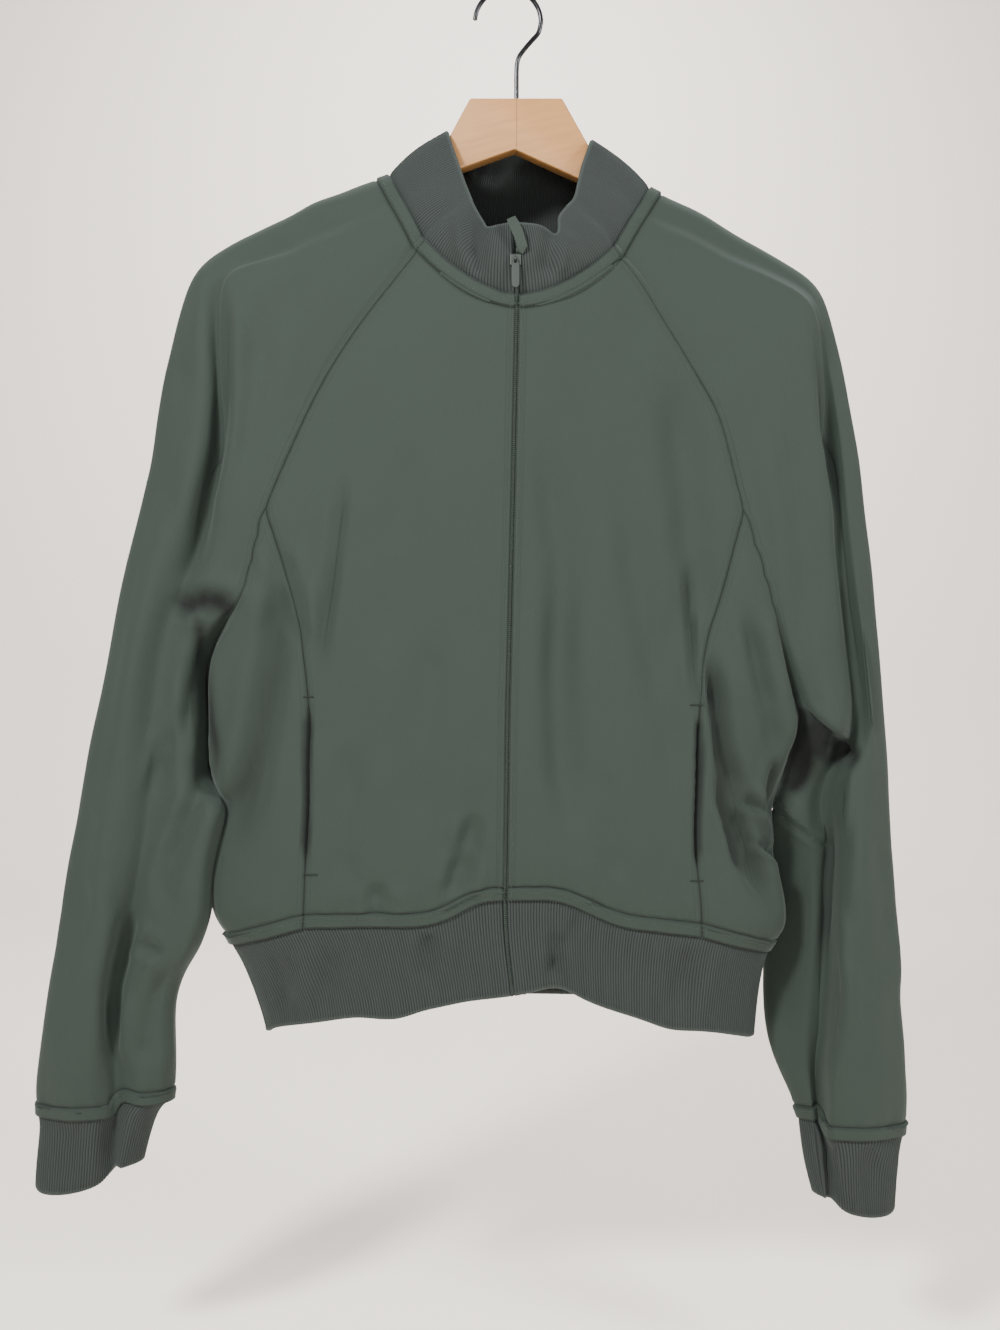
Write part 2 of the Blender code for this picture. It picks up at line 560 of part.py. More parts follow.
def band_side(side, skirt):
    """Rows of one side of the rib band, from the hem seam to the lower edge."""
    seams = {name: skirt[name][-1] for name in ("front", "side", "back")}
    places = {name: [seams[name]] for name in seams}
    bottom_x, bottom_z = [e.x for e in BAND_BOTTOM], [e.z for e in BAND_BOTTOM]
    end = BAND_SIDES[side]
    edge_start = seams["side"][-1]
    for i, drop in enumerate(BAND_DROP):
        centre = BAND_CENTRE[i]
        zip_x = centre.zip_x + side * ZIP_HALF_GAP
        seam_zip_x = seams["front"][0][0]
        scale = (end[i] - zip_x) / (edge_start[0] - seam_zip_x)
        final = (end[-1] - zip_x) / (edge_start[0] - seam_zip_x)
        for name in ("front", "side"):
            line = []
            for at in seams[name]:
                x = zip_x + (at[0] - seam_zip_x) * scale
                low = np.interp(zip_x + (at[0] - seam_zip_x) * final, bottom_x, bottom_z)
                share = abs(at[0] - seam_zip_x) / abs(edge_start[0] - seam_zip_x)
                out = -at[1] * (centre.zip_out / -seams["front"][0][1])
                out *= mix(1.0, BAND_OUT[i] / 20.0, share)
                line.append(point(x, out, mix(at[2], low, drop)))
            places[name].append(line)
        places[name][-1][-1] = point(end[i], 0.0, places[name][-1][-1][2])
        line = []
        for at in seams["back"]:
            share = (at[0] - edge_start[0]) / (seams["back"][-1][0] - edge_start[0])
            x = mix(end[i], 4.0, share)
            low = mix(places["side"][-1][-1][2], centre.back_z, ease(share * 1.6))
            line.append(np.array((x, at[1] * centre.back_out / SKIRT_CENTRE[-1].back_out, low)))
        line[0] = places["side"][-1][-1]
        places["back"].append(line)
    return places


def tube_rows(table, belly=0.0):
    """Closed rings of a sleeve or cuff, each from the inner edge round the front and back."""
    rings = []
    for row in table:
        radius = min(SLEEVE_EDGE, 0.9 * row.outer)
        inner, outer = (row.inner_x, row.inner_z), (row.outer_x, row.outer_z)
        front = sleeve_front(inner, (row.crease_x, row.crease_z), outer, row.step,
                             (row.inner, row.crease_out, row.outer, 0.0), row.lap,
                             beside_seam(0.0, row.inner), radius)
        back = sleeve_back(outer, inner, row.back, 0.0, beside_seam(0.0, row.back), radius)
        back[-1] = front[0]
        rings.append(front + back[1:-1])
    if belly:
        for column in range(5, SLEEVE_COLUMNS):
            share = (column - 5) / (SLEEVE_COLUMNS - 5)
            rings[-1][column][2] -= belly * math.sin(math.pi * share)
    return rings


def neck_line(yoke):
    """The neck seam of one side in order from zip to centre back."""
    line = list(yoke["front"][0])
    for name in ("sleeve", "sleeve_back", "back"):
        line += list(yoke[name][0])[1:]
    return line


def collar_side(side, yoke):
    """Rows of one side of the collar, from the neck seam to the top edge."""
    seam = neck_line(yoke)
    steps = [0.0]
    for a, b in zip(seam, seam[1:]):
        steps.append(steps[-1] + np.linalg.norm(b - a))
    ridge = steps[FRONT_COLUMNS + SLEEVE_COLUMNS]
    rim = LEFT_RIM if side < 0 else RIGHT_RIM
    shares = [r.share for r in rim]
    rows = [seam]
    middle = np.array((4.0, -4.0))
    for i in range(1, COLLAR_ROWS + 1):
        rise = i / COLLAR_ROWS
        line = []
        for at, step in zip(seam, steps):
            share = step / ridge if step < ridge else 1 + (step - ridge) / (steps[-1] - ridge)
            top = np.array([np.interp(share, shares, [getattr(r, axis) for r in rim]) for axis in "xyz"])
            spot = mix(at, top, rise)
            away = spot[:2] - middle
            push = COLLAR_BULGE * math.sin(math.pi * rise) / np.linalg.norm(away)
            spot[0] += away[0] * push * ease(share * 6)
            spot[1] += away[1] * push
            line.append(spot)
        rows.append(line)
    return rows


class Skin:
    """The jacket's outer surface: shared points, and faces kept by panel."""

    def __init__(self):
        self.points = []
        self.index = {}
        self.faces = {}
        self.lift = {}
        self.fixed = {}
        self.reach = {}

    def vertex(self, at):
        """Number of the point at a place, made if it is new."""
        key = tuple(np.round(at, 3))
        if key not in self.index:
            self.index[key] = len(self.points)
            self.points.append(np.array(at, dtype=float))
        return self.index[key]

    def sheet(self, panel, rows, flip, closed=False):
        """Add the faces between rows of points to a panel."""
        numbers = [[self.vertex(at) for at in row] for row in rows]
        faces = []
        for upper, lower in zip(numbers, numbers[1:]):
            if closed:
                upper, lower = upper + upper[:1], lower + lower[:1]
            for j in range(len(upper) - 1):
                faces.append([upper[j], lower[j], lower[j + 1], upper[j + 1]])
            if len(lower) == len(upper) + 1:
                faces.append([upper[-1], lower[-2], lower[-1]])
        if flip:
            faces = [face[::-1] for face in faces]
        self.faces.setdefault(panel, []).extend(faces)

    def raise_strip(self, rows):
        """Mark points whose outer wall stands up as a topstitched strip."""
        for row in rows:
            for at in row:
                self.lift[self.vertex(at)] = STRIP_RISE

    def normals(self):
        """Outward direction at each point, over all panels."""
        total = np.zeros((len(self.points), 3))
        for faces in self.faces.values():
            for face in faces:
                corners = [self.points[i] for i in face]
                facing = np.cross(corners[2] - corners[0], corners[-1] - corners[1])
                facing /= np.linalg.norm(facing)
                for k, i in enumerate(face):
                    ahead = corners[(k + 1) % len(face)] - corners[k]
                    behind = corners[k - 1] - corners[k]
                    turn = np.dot(ahead, behind) / np.linalg.norm(ahead) / np.linalg.norm(behind)
                    total[i] += facing * math.acos(np.clip(turn, -1.0, 1.0))
        for i, direction in self.fixed.items():
            total[i] = direction
        return total / np.linalg.norm(total, axis=1)[:, None]


def boundary_of(faces):
    """Directed edges that only one face of a panel uses."""
    edges = {}
    for face in faces:
        for a, b in zip(face, face[1:] + face[:1]):
            edges[(a, b)] = True
    return [(a, b) for a, b in edges if (b, a) not in edges]


def inset_points(skin, faces, normals, gap):
    """Points of a panel, with those on its edge moved in along the surface."""
    moved = {}
    pushes = {}
    for a, b in boundary_of(faces):
        run = skin.points[b] - skin.points[a]
        for i in (a, b):
            inward = np.cross(normals[i], run)
            pushes.setdefault(i, []).append(inward / np.linalg.norm(inward))
    for face in faces:
        for i in face:
            moved[i] = skin.points[i]
    for i, directions in pushes.items():
        total = sum(directions)
        size = np.linalg.norm(total)
        if size > 0.3:
            bisector = total / size
            reach = min(1.0 / max(float(np.dot(bisector, directions[0])), 0.6), 1.6)
            moved[i] = skin.points[i] + bisector * gap / 2 * reach
    return moved


def walled(skin, faces, normals, wall, gap, lifted):
    """Vertices and faces of a closed wall inside the skin, its strips raised if lifted."""
    outer = inset_points(skin, faces, normals, gap)
    order = {i: n for n, i in enumerate(sorted(outer))}
    count = len(order)
    top, bottom = [], []
    for i in sorted(outer):
        lift = skin.lift.get(i, 0.0) if lifted else 0.0
        top.append(outer[i] + normals[i] * lift)
        bottom.append(outer[i] - normals[i] * wall * skin.reach.get(i, 1.0))
    shell = [[order[i] for i in face] for face in faces]
    shell += [[order[i] + count for i in reversed(face)] for face in faces]
    for a, b in boundary_of(faces):
        shell.append([order[b], order[a], order[a] + count, order[b] + count])
    return top + bottom, shell


def material(name, colour):
    """Principled material of a part."""
    made = bpy.data.materials.new(name)
    made.use_nodes = True
    shader = made.node_tree.nodes["Principled BSDF"]
    shader.inputs["Base Color"].default_value = (colour.red, colour.green, colour.blue, 1.0)
    shader.inputs["Roughness"].default_value = colour.roughness
    shader.inputs["Metallic"].default_value = colour.metallic
    made.diffuse_color = (colour.red, colour.green, colour.blue, 1.0)
    return made


def mesh_object(name, vertices, faces, colour, group):
    """Object from points in millimetres."""
    mesh = bpy.data.meshes.new(name)
    mesh.from_pydata([tuple(np.asarray(v) * MM) for v in vertices], [], faces)
    mesh.validate()
    made = bpy.data.objects.new(name, mesh)
    made.data.materials.append(material(name, colour))
    group.objects.link(made)
    mesh.shade_smooth()
    return made


def wire_object(name, places, radius, sides, colour, group):
    """Closed wire along points in millimetres."""
    curve = bpy.data.curves.new(name, "CURVE")
    curve.dimensions = "3D"
    curve.bevel_depth = radius * MM
    curve.bevel_resolution = sides
    curve.use_fill_caps = True
    spline = curve.splines.new("POLY")
    spline.points.add(len(places) - 1)
    for spot, at in zip(spline.points, places):
        spot.co = (at[0] * MM, at[1] * MM, at[2] * MM, 1.0)
    made = bpy.data.objects.new(name, curve)
    made.data.materials.append(material(name, colour))
    group.objects.link(made)
    return made


def as_mesh(made, group):
    """The evaluated mesh of an object with its loose caps welded, in its place."""
    depsgraph = bpy.context.evaluated_depsgraph_get()
    depsgraph.update()
    mesh = bpy.data.meshes.new_from_object(made.evaluated_get(depsgraph))
    cage = bmesh.new()
    cage.from_mesh(mesh)
    bmesh.ops.remove_doubles(cage, verts=cage.verts, dist=1e-6)
    cage.to_mesh(mesh)
    cage.free()
    name, matrix = made.name, made.matrix_world.copy()
    bpy.data.objects.remove(made)
    fresh = bpy.data.objects.new(name, mesh)
    fresh.matrix_world = matrix
    group.objects.link(fresh)
    return fresh


def flat_curve(name, outlines, half, edge_round, colour, group):
    """Plate from closed outlines in x and z, standing in the plane of the hanger."""
    curve = bpy.data.curves.new(name, "CURVE")
    curve.dimensions = "2D"
    curve.fill_mode = "BOTH"
    curve.extrude = (half - edge_round) * MM
    curve.bevel_depth = edge_round * MM
    curve.bevel_resolution = 2
    curve.offset = -edge_round * MM
    for outline in outlines:
        spline = curve.splines.new("POLY")
        spline.points.add(len(outline) - 1)
        for spot, at in zip(spline.points, outline):
            spot.co = (at[0] * MM, at[1] * MM, 0.0, 1.0)
        spline.use_cyclic_u = True
    plate = bpy.data.objects.new(name, curve)
    plate.rotation_euler = (math.radians(90.0), 0.0, 0.0)
    plate.data.materials.append(material(name, colour))
    group.objects.link(plate)
    bpy.context.view_layer.update()
    return as_mesh(plate, group)


def rounded_box(name, size, edge_round, place, tilt, colour, group):
    """Box with rounded edges, tilted sideways, its centre at a place in millimetres."""
    mesh = bpy.data.meshes.new(name)
    cage = bmesh.new()
    bmesh.ops.create_cube(cage, size=1.0)
    bmesh.ops.scale(cage, vec=[side * MM for side in size], verts=cage.verts)
    bmesh.ops.rotate(cage, verts=cage.verts, matrix=Matrix.Rotation(tilt, 3, "Y"))
    bmesh.ops.translate(cage, vec=[at * MM for at in place], verts=cage.verts)
    bmesh.ops.bevel(cage, geom=cage.edges[:], offset=edge_round * MM, segments=2,
                    profile=0.5, affect="EDGES")
    cage.to_mesh(mesh)
    cage.free()
    made = bpy.data.objects.new(name, mesh)
    made.data.materials.append(material(name, colour))
    group.objects.link(made)
    return made


def as_cutter(made, cutters):
    """Move an object among the cutters, out of the render."""
    for owner in made.users_collection:
        owner.objects.unlink(made)
    cutters.objects.link(made)
    made.hide_render = True
    made.display_type = "WIRE"
    return made


def add_boolean(target, cutter, operation):
    """Boolean that stays on the target."""
    step = target.modifiers.new(operation.lower(), "BOOLEAN")
    step.operation = operation
    step.object = cutter
    step.solver = "EXACT"


def build_skin():
    """The whole outer surface, and the rows that other pieces are made from."""
    skin = Skin()
    made = {}
    for side, word in ((-1, "left"), (1, "right")):
        flip = side < 0
        yoke = yoke_side(side)
        skirt = skirt_side(side, yoke)
        band = band_side(side, skirt)
        collar = collar_side(side, yoke)
        sleeve_table = LEFT_SLEEVE if side < 0 else RIGHT_SLEEVE
        cuff_table = LEFT_CUFF if side < 0 else RIGHT_CUFF
        armpit_ring = list(yoke["sleeve"][-1]) + list(yoke["sleeve_back"][-1])[1:-1]
        tube = with_strip([armpit_ring] + tube_rows(sleeve_table)[1:], at_end=True)
        cuff = [tube[-1]] + tube_rows(cuff_table, CUFF_BELLY)
        skin.sheet("front_" + word, yoke["front"] + skirt["front"][1:], flip)
        skin.sheet("side_" + word, yoke["side"] + skirt["side"][1:], flip)
        skin.sheet("sleeve_" + word, yoke["sleeve"], flip)
        skin.sheet("sleeve_" + word, yoke["sleeve_back"], flip)
        skin.sheet("sleeve_" + word, tube, flip, closed=True)
        skin.sheet("back", yoke["back"] + skirt["back"][1:], flip)
        for name in ("front", "side", "back"):
            skin.sheet("hem_band", band[name], flip)
            skin.raise_strip(skirt[name][-2:])
        skin.sheet("cuff_" + word, cuff, flip, closed=True)
        skin.sheet("collar", collar[::-1], flip)
        for name in ("front", "sleeve", "sleeve_back", "back"):
            skin.raise_strip(yoke[name][:2])
        skin.raise_strip(tube[-2:])
        armpit = skin.vertex(yoke["sleeve"][-1][0])
        skin.fixed[armpit] = np.array((0.0, 0.0, -1.0))
        skin.reach[armpit] = ARMPIT_REACH
        made[side] = {"yoke": yoke, "skirt": skirt, "band": band, "collar": collar}
    return skin, made


def build_cloth(skin, normals, group):
    """Every panel and rib piece as its own closed wall."""
    for panel, faces in skin.faces.items():
        rib = panel.startswith(("collar", "cuff", "hem"))
        wall, gap, colour = (RIB_WALL, RIB_GAP, RIB) if rib else (WALL, SEAM_GAP, CLOTH)
        vertices, shell = walled(skin, faces, normals, wall, gap, lifted=not rib)
        mesh_object(panel, vertices, shell, colour, group)


def build_hanger(made, group, cutters):
    """Wooden hanger under the shoulders, with its steel hook."""
    outline = list(reversed(wood_top(made, -1))) + WOOD_CROWN + wood_top(made, 1)
    outline += WOOD_LOWER[1][::-1] + [WOOD_NOTCH] + WOOD_LOWER[-1]
    wood = flat_curve("hanger_wood", [outline], WOOD_HALF, WOOD_ROUND, WOOD, group)
    bpy.ops.mesh.primitive_cylinder_add(
        vertices=16, radius=(HOOK_WIRE + SEAM_GAP) * MM, depth=2 * (HOOK_SOCKET + SEAM_GAP) * MM,
        location=(HOOK_STEM_X * MM, 0.0, WOOD_TOP_Z * MM))
    drill = bpy.context.object
    drill.name = "hook_socket"
    add_boolean(wood, as_cutter(drill, cutters), "DIFFERENCE")
    build_hook(group)


def wood_top(made, side):
    """Top line of one arm: the ridge of the shoulder from the neck out, moved in by the wall."""
    outer = [row[-1] for row in made[side]["yoke"]["sleeve"]]
    ridge = [(at[0], at[2]) for at in [outer[0]] + outer[3:] if abs(at[0]) < WOOD_REACH]
    crown = WOOD_CROWN[0] if side < 0 else WOOD_CROWN[-1]
    line = []
    for i, at in enumerate(ridge):
        before = tuple(crown) if i == 0 else ridge[i - 1]
        after = ridge[min(i + 1, len(ridge) - 1)]
        run = (after[0] - before[0], after[1] - before[1])
        deep = (RIB_WALL if i == 0 else WALL) + WOOD_CLEARANCE
        scale = deep * side / math.hypot(*run)
        line.append(Edge(at[0] + run[1] * scale, at[1] - run[0] * scale))
    return line


def build_hook(group):
    """Steel wire hook: a bend round the origin, then an S down to the stem."""
    places = []
    for i in range(17):
        angle = math.radians(mix(176.0, 0.0, i / 16))
        places.append((HOOK_CENTRE[0] + HOOK_BEND * math.cos(angle), 0.0,
                       HOOK_CENTRE[1] + HOOK_BEND * math.sin(angle)))
    tail = [(places[-1][0], places[-1][2])] + [tuple(at) for at in HOOK_TAIL]
    for x, z in smooth_rows(tail, 2)[1:]:
        places.append((x, 0.0, z))
    places.append((HOOK_STEM_X, 0.0, WOOD_TOP_Z - HOOK_SOCKET))
    wire_object("hanger_hook", places, HOOK_WIRE, 2, STEEL, group)


def zip_edges(made):
    """Zip line from hem to collar: left and right edge points with the wall beside them."""
    line = []
    for part, first, last, wall in (("band", 0, 0, RIB_WALL), ("skirt", 0, 1, WALL),
                                    ("yoke", 1, 1, WALL)):
        lines = [made[side][part]["front"] for side in (-1, 1)]
        count = len(lines[0]) - last
        for i in reversed(range(first, count)):
            line.append((lines[0][i][0], lines[1][i][0], lines[0][i][1], lines[1][i][1], wall))
    collars = [made[side]["collar"] for side in (-1, 1)]
    for i in range(len(collars[0])):
        line.append((collars[0][i][0], collars[1][i][0], collars[0][i][1], collars[1][i][1], RIB_WALL))
    return line


def build_zip(made, normals, skin, group):
    """Zip chain with its tapes behind the front edges, from the box to the slider."""
    sections = []
    for left, right, left_next, right_next, wall in zip_edges(made):
        edge = (left + right) / 2
        if edge[2] > SLIDER_Z:
            break
        normal = normals[skin.vertex(left)] + normals[skin.vertex(right)]
        normal /= np.linalg.norm(normal)
        away_left = (left_next - left) / np.linalg.norm(left_next - left)
        away_right = (right_next - right) / np.linalg.norm(right_next - right)
        flat = (right - left) / np.linalg.norm(right - left) * CHAIN_HALF
        ridge, face = normal * CHAIN_RECESS, normal * (wall + TAPE_CLEARANCE)
        back = face + normal * TAPE_WALL
        left_end, right_end = left + away_left * TAPE_REACH, right + away_right * TAPE_REACH
        section = [left_end - face, edge - flat - face, edge - flat - ridge, edge + flat - ridge,
                   edge + flat - face, right_end - face, right_end - back, edge - back,
                   left_end - back]
        sections.append(section)
    rise = [mix(low, high, 0.5) for low, high in ((s[2], s[3]) for s in sections[:2])]
    slope = rise[1] - rise[0]
    share = (BOX_SIZE[2] + 2 * SEAM_GAP) / np.linalg.norm(slope)
    foot = mix(rise[0], rise[1], share / 2) + np.array((0.0, BOX_SIZE[1] / 2, 0.0))
    sections[0] = [mix(low, high, share) for low, high in zip(*sections[:2])]
    loft("zip_chain", sections, ZIP_TAPE, group)
    rounded_box("zip_box", BOX_SIZE, BOX_ROUND, foot, math.atan2(slope[0], slope[2]), ZIP_METAL, group)


def build_slider(made, group, cutters):
    """Slider in front of the chain's top, its bail, and the pull that swings on it."""
    rows = [(left + right) / 2 for left, right, *_ in zip_edges(made)]
    heights = [at[2] for at in rows]
    x = float(np.interp(SLIDER_Z, heights, [at[0] for at in rows]))
    out = -float(np.interp(SLIDER_Z, heights, [at[1] for at in rows])) + SEAM_GAP
    centre = (x, -(out + SLIDER_SIZE[1] / 2), SLIDER_Z)
    slider = rounded_box("zip_slider", SLIDER_SIZE, SLIDER_ROUND, centre, 0.0, ZIP_METAL, group)
    hinge = (x, -(out + SLIDER_SIZE[1] + BAR_CLEAR), SLIDER_Z)
    bend = [(x, centre[1], SLIDER_Z - BAIL_BEND)]
    for i in range(9):
        angle = math.radians(mix(-90.0, 90.0, i / 8))
        bend.append((x, hinge[1] - BAIL_BEND * math.cos(angle), SLIDER_Z + BAIL_BEND * math.sin(angle)))
    bend.append((x, centre[1], SLIDER_Z + BAIL_BEND))
    bail = as_mesh(wire_object("bail", bend, BAIL_WIRE, 2, ZIP_METAL, group), group)
    add_boolean(slider, as_cutter(bail, cutters), "UNION")
    build_pull(hinge, group)


def build_pull(hinge, group):
    """Pull tab: an eye with a cross-bar at the top, and a rounded tab. Its origin is the hinge."""
    outline = []
    for i in range(9):
        angle = math.radians(mix(0.0, 180.0, i / 8))
        outline.append((PULL_EYE_HALF * math.cos(angle), BAR_HALF * math.sin(angle)))
    outline += [(-PULL_EYE_HALF, -SLOT_END), (-PULL_HALF, -PULL_SHOULDER)]
    for i in range(9):
        angle = math.radians(mix(180.0, 360.0, i / 8))
        outline.append((PULL_HALF * math.cos(angle),
                        PULL_HALF - PULL_LENGTH + PULL_HALF * math.sin(angle)))
    outline += [(PULL_HALF, -PULL_SHOULDER), (PULL_EYE_HALF, -SLOT_END)]
    slot = [(-SLOT_HALF, -BAR_HALF), (SLOT_HALF, -BAR_HALF), (SLOT_HALF, -SLOT_END),
            (-SLOT_HALF, -SLOT_END)]
    pull = flat_curve("zip_pull", [outline, slot], PULL_WALL / 2, PULL_ROUND, ZIP_METAL, group)
    pull.location = [at * MM for at in hinge]


def build_tape_end(group):
    """The right tape above the slider, turned out over the collar's edge."""
    sections = []
    for i, end in enumerate(RIGHT_TAPE_END):
        before, after = RIGHT_TAPE_END[max(i - 1, 0)], RIGHT_TAPE_END[min(i + 1, len(RIGHT_TAPE_END) - 1)]
        run = np.array((after.x - before.x, before.out - after.out, after.z - before.z))
        across = np.cross(run, (0.0, -1.0, 0.0))
        across *= end.half / np.linalg.norm(across)
        thick = np.cross(across, run)
        thick *= end.thick / np.linalg.norm(thick)
        centre = point(end.x, end.out, end.z)
        sections.append([centre - across - thick, centre + across - thick,
                         centre + across + thick, centre - across + thick])
    loft("zip_tape_end", sections, ZIP_TAPE, group)


def loft(name, sections, colour, group):
    """Closed solid through sections with equal numbers of points, listed upwards."""
    size = len(sections[0])
    vertices = [at for section in sections for at in section]
    faces = []
    for i in range(len(sections) - 1):
        for j in range(size):
            a, b = i * size + j, i * size + (j + 1) % size
            faces.append([a, b, b + size, a + size])
    faces.append(list(range(size))[::-1])
    faces.append([(len(sections) - 1) * size + j for j in range(size)])
    made = mesh_object(name, vertices, faces, colour, group)
    cage = bmesh.new()
    cage.from_mesh(made.data)
    bmesh.ops.recalc_face_normals(cage, faces=cage.faces)
    cage.to_mesh(made.data)
    cage.free()
    return made


def main():
    """Build the jacket and its hanger."""
    for old in list(bpy.data.objects):
        bpy.data.objects.remove(old)
    group = bpy.data.collections.new(OBJECT_NAME)
    cutters = bpy.data.collections.new("cutters")
    for made in (group, cutters):
        bpy.context.scene.collection.children.link(made)
    skin, rows = build_skin()
    normals = skin.normals()
    build_cloth(skin, normals, group)
    build_hanger(rows, group, cutters)
    build_zip(rows, normals, skin, group)
    build_slider(rows, group, cutters)
    build_tape_end(group)


main()
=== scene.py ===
"""Finished look of a zip-front track jacket on its wooden hanger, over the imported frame.

Lengths are in millimetres until a mesh is made. X runs to the viewer's right, the front
faces -Y and Z is up, as in the frame. The cloth starts from the same rings of points as the
solids, is subdivided, and then gets its creases, seams and stitches.
"""

import logging
import math
from collections import namedtuple
from dataclasses import dataclass, replace
from enum import Enum
from typing import Any, Callable, Optional, Sequence

import bmesh
import bpy
import numpy as np
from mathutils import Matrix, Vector
from mathutils.bvhtree import BVHTree
from mathutils.kdtree import KDTree


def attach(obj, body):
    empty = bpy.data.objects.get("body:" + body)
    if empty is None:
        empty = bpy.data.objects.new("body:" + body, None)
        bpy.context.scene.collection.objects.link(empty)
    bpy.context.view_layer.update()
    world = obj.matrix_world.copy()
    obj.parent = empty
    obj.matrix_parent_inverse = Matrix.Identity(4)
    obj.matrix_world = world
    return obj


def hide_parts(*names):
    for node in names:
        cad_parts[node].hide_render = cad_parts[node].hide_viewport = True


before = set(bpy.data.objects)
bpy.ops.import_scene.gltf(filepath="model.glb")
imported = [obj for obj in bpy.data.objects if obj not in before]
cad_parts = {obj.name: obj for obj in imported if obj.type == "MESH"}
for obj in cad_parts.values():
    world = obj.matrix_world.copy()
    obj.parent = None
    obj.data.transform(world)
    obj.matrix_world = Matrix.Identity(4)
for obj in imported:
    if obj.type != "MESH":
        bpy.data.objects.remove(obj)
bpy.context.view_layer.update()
LOG = logging.getLogger("jacket")
MM = 0.001
SEED = 7
LEFT, RIGHT = -1, 1
Row = list
Rows = list
Paint = tuple

# Sizes that the solids share
WALL = 1.8
RIB_WALL = 3.2
STRIP_WIDTH = 7.5
STRIP_STEP = 1.2

# Fold radius of the cloth over the hanger and at the edges of its tubes
NECK_EDGE = 11.0
SHOULDER_EDGE = 8.9
SLEEVE_EDGE = 13.0
ROUND_REACH = 24.0
LAP_BEFORE = 4.0
LAP_AFTER = 5.0
LOBE_WIDE = 50.0
ARC_SHARE = 1.0 - math.cos(math.radians(45.0))

# Columns of points in each stretch of a ring
FRONT_COLUMNS = 8
SIDE_COLUMNS = 4
SLEEVE_COLUMNS = 10
BACK_COLUMNS = 8
NEAR_SEAM = 5.0
OFF_SEAM = 13.0


def listed(kind: Callable, *rows: tuple) -> list:
    """Named rows from rows of plain numbers."""
    return [kind(*row) for row in rows]


# Half the gap that the zip fills, where the slider stands, and where the centre back runs
ZIP_HALF_GAP = 1.6
SLIDER_Z = -213.0
CENTRE_BACK_X = 4.0

# The zip line: x, z and how far it lies in front of the hanger's plane, with the
# centre back's z and how far that lies behind the plane. One row for each section.
Centre = namedtuple("Centre", "zip_x zip_z zip_out back_z back_out")
YOKE_CENTRE = listed(
    Centre,
    (5.8, -235, 65, -155, 47), (5.2, -265, 65, -188, 50), (4.6, -295, 64, -224, 52),
    (3.9, -326, 63, -262, 53), (3.3, -358, 62, -302, 53), (2.5, -391, 61, -344, 52),
    (1.6, -428, 61, -388, 51), (0.9, -458, 61, -434, 50), (0.3, -482, 61, -470, 49),
    (-0.3, -505, 61, -500, 48), (-0.6, -522, 61, -524, 48), (-0.8, -536, 61, -546, 47),
)
SKIRT_CENTRE = listed(
    Centre,
    (-0.8, -536, 61, -546, 47), (-1.0, -553, 61, -566, 47), (-1.2, -571, 61, -586, 46),
    (-1.5, -590, 61, -606, 46), (-1.7, -609, 60, -625, 45), (-2.0, -625, 58, -644, 44),
    (-2.3, -640, 54, -664, 41),
)
BAND_CENTRE = listed(
    Centre,
    (-2.2, -644, 52.5, -673, 39), (-1.8, -658, 51, -684, 38), (-0.6, -675, 50, -702, 38),
    (1.2, -691, 49, -716, 38), (2.8, -705.5, 48, -725, 38),
)
# Stretches of a ring of the yoke from zip to centre back, and of the body below it
AROUND, BELOW = ("front", "sleeve", "sleeve_back", "back"), ("front", "side", "back")
YOKE_STEPS = [2, 2, 2, 2, 2, 2, 2, 1, 1, 1, 1]
SIDE_SEAM_START = 5
# How far the sleeve's back stands out at the neck, over the shoulder and at each armpit, and
# how far the back does at the armpit
BACK_AT_NECK = 16.0
BACK_AT_SHOULDER = 30.0
BACK_AT_ARMPIT = {LEFT: 24.0, RIGHT: 18.0}
BODY_AT_ARMPIT = 26.0

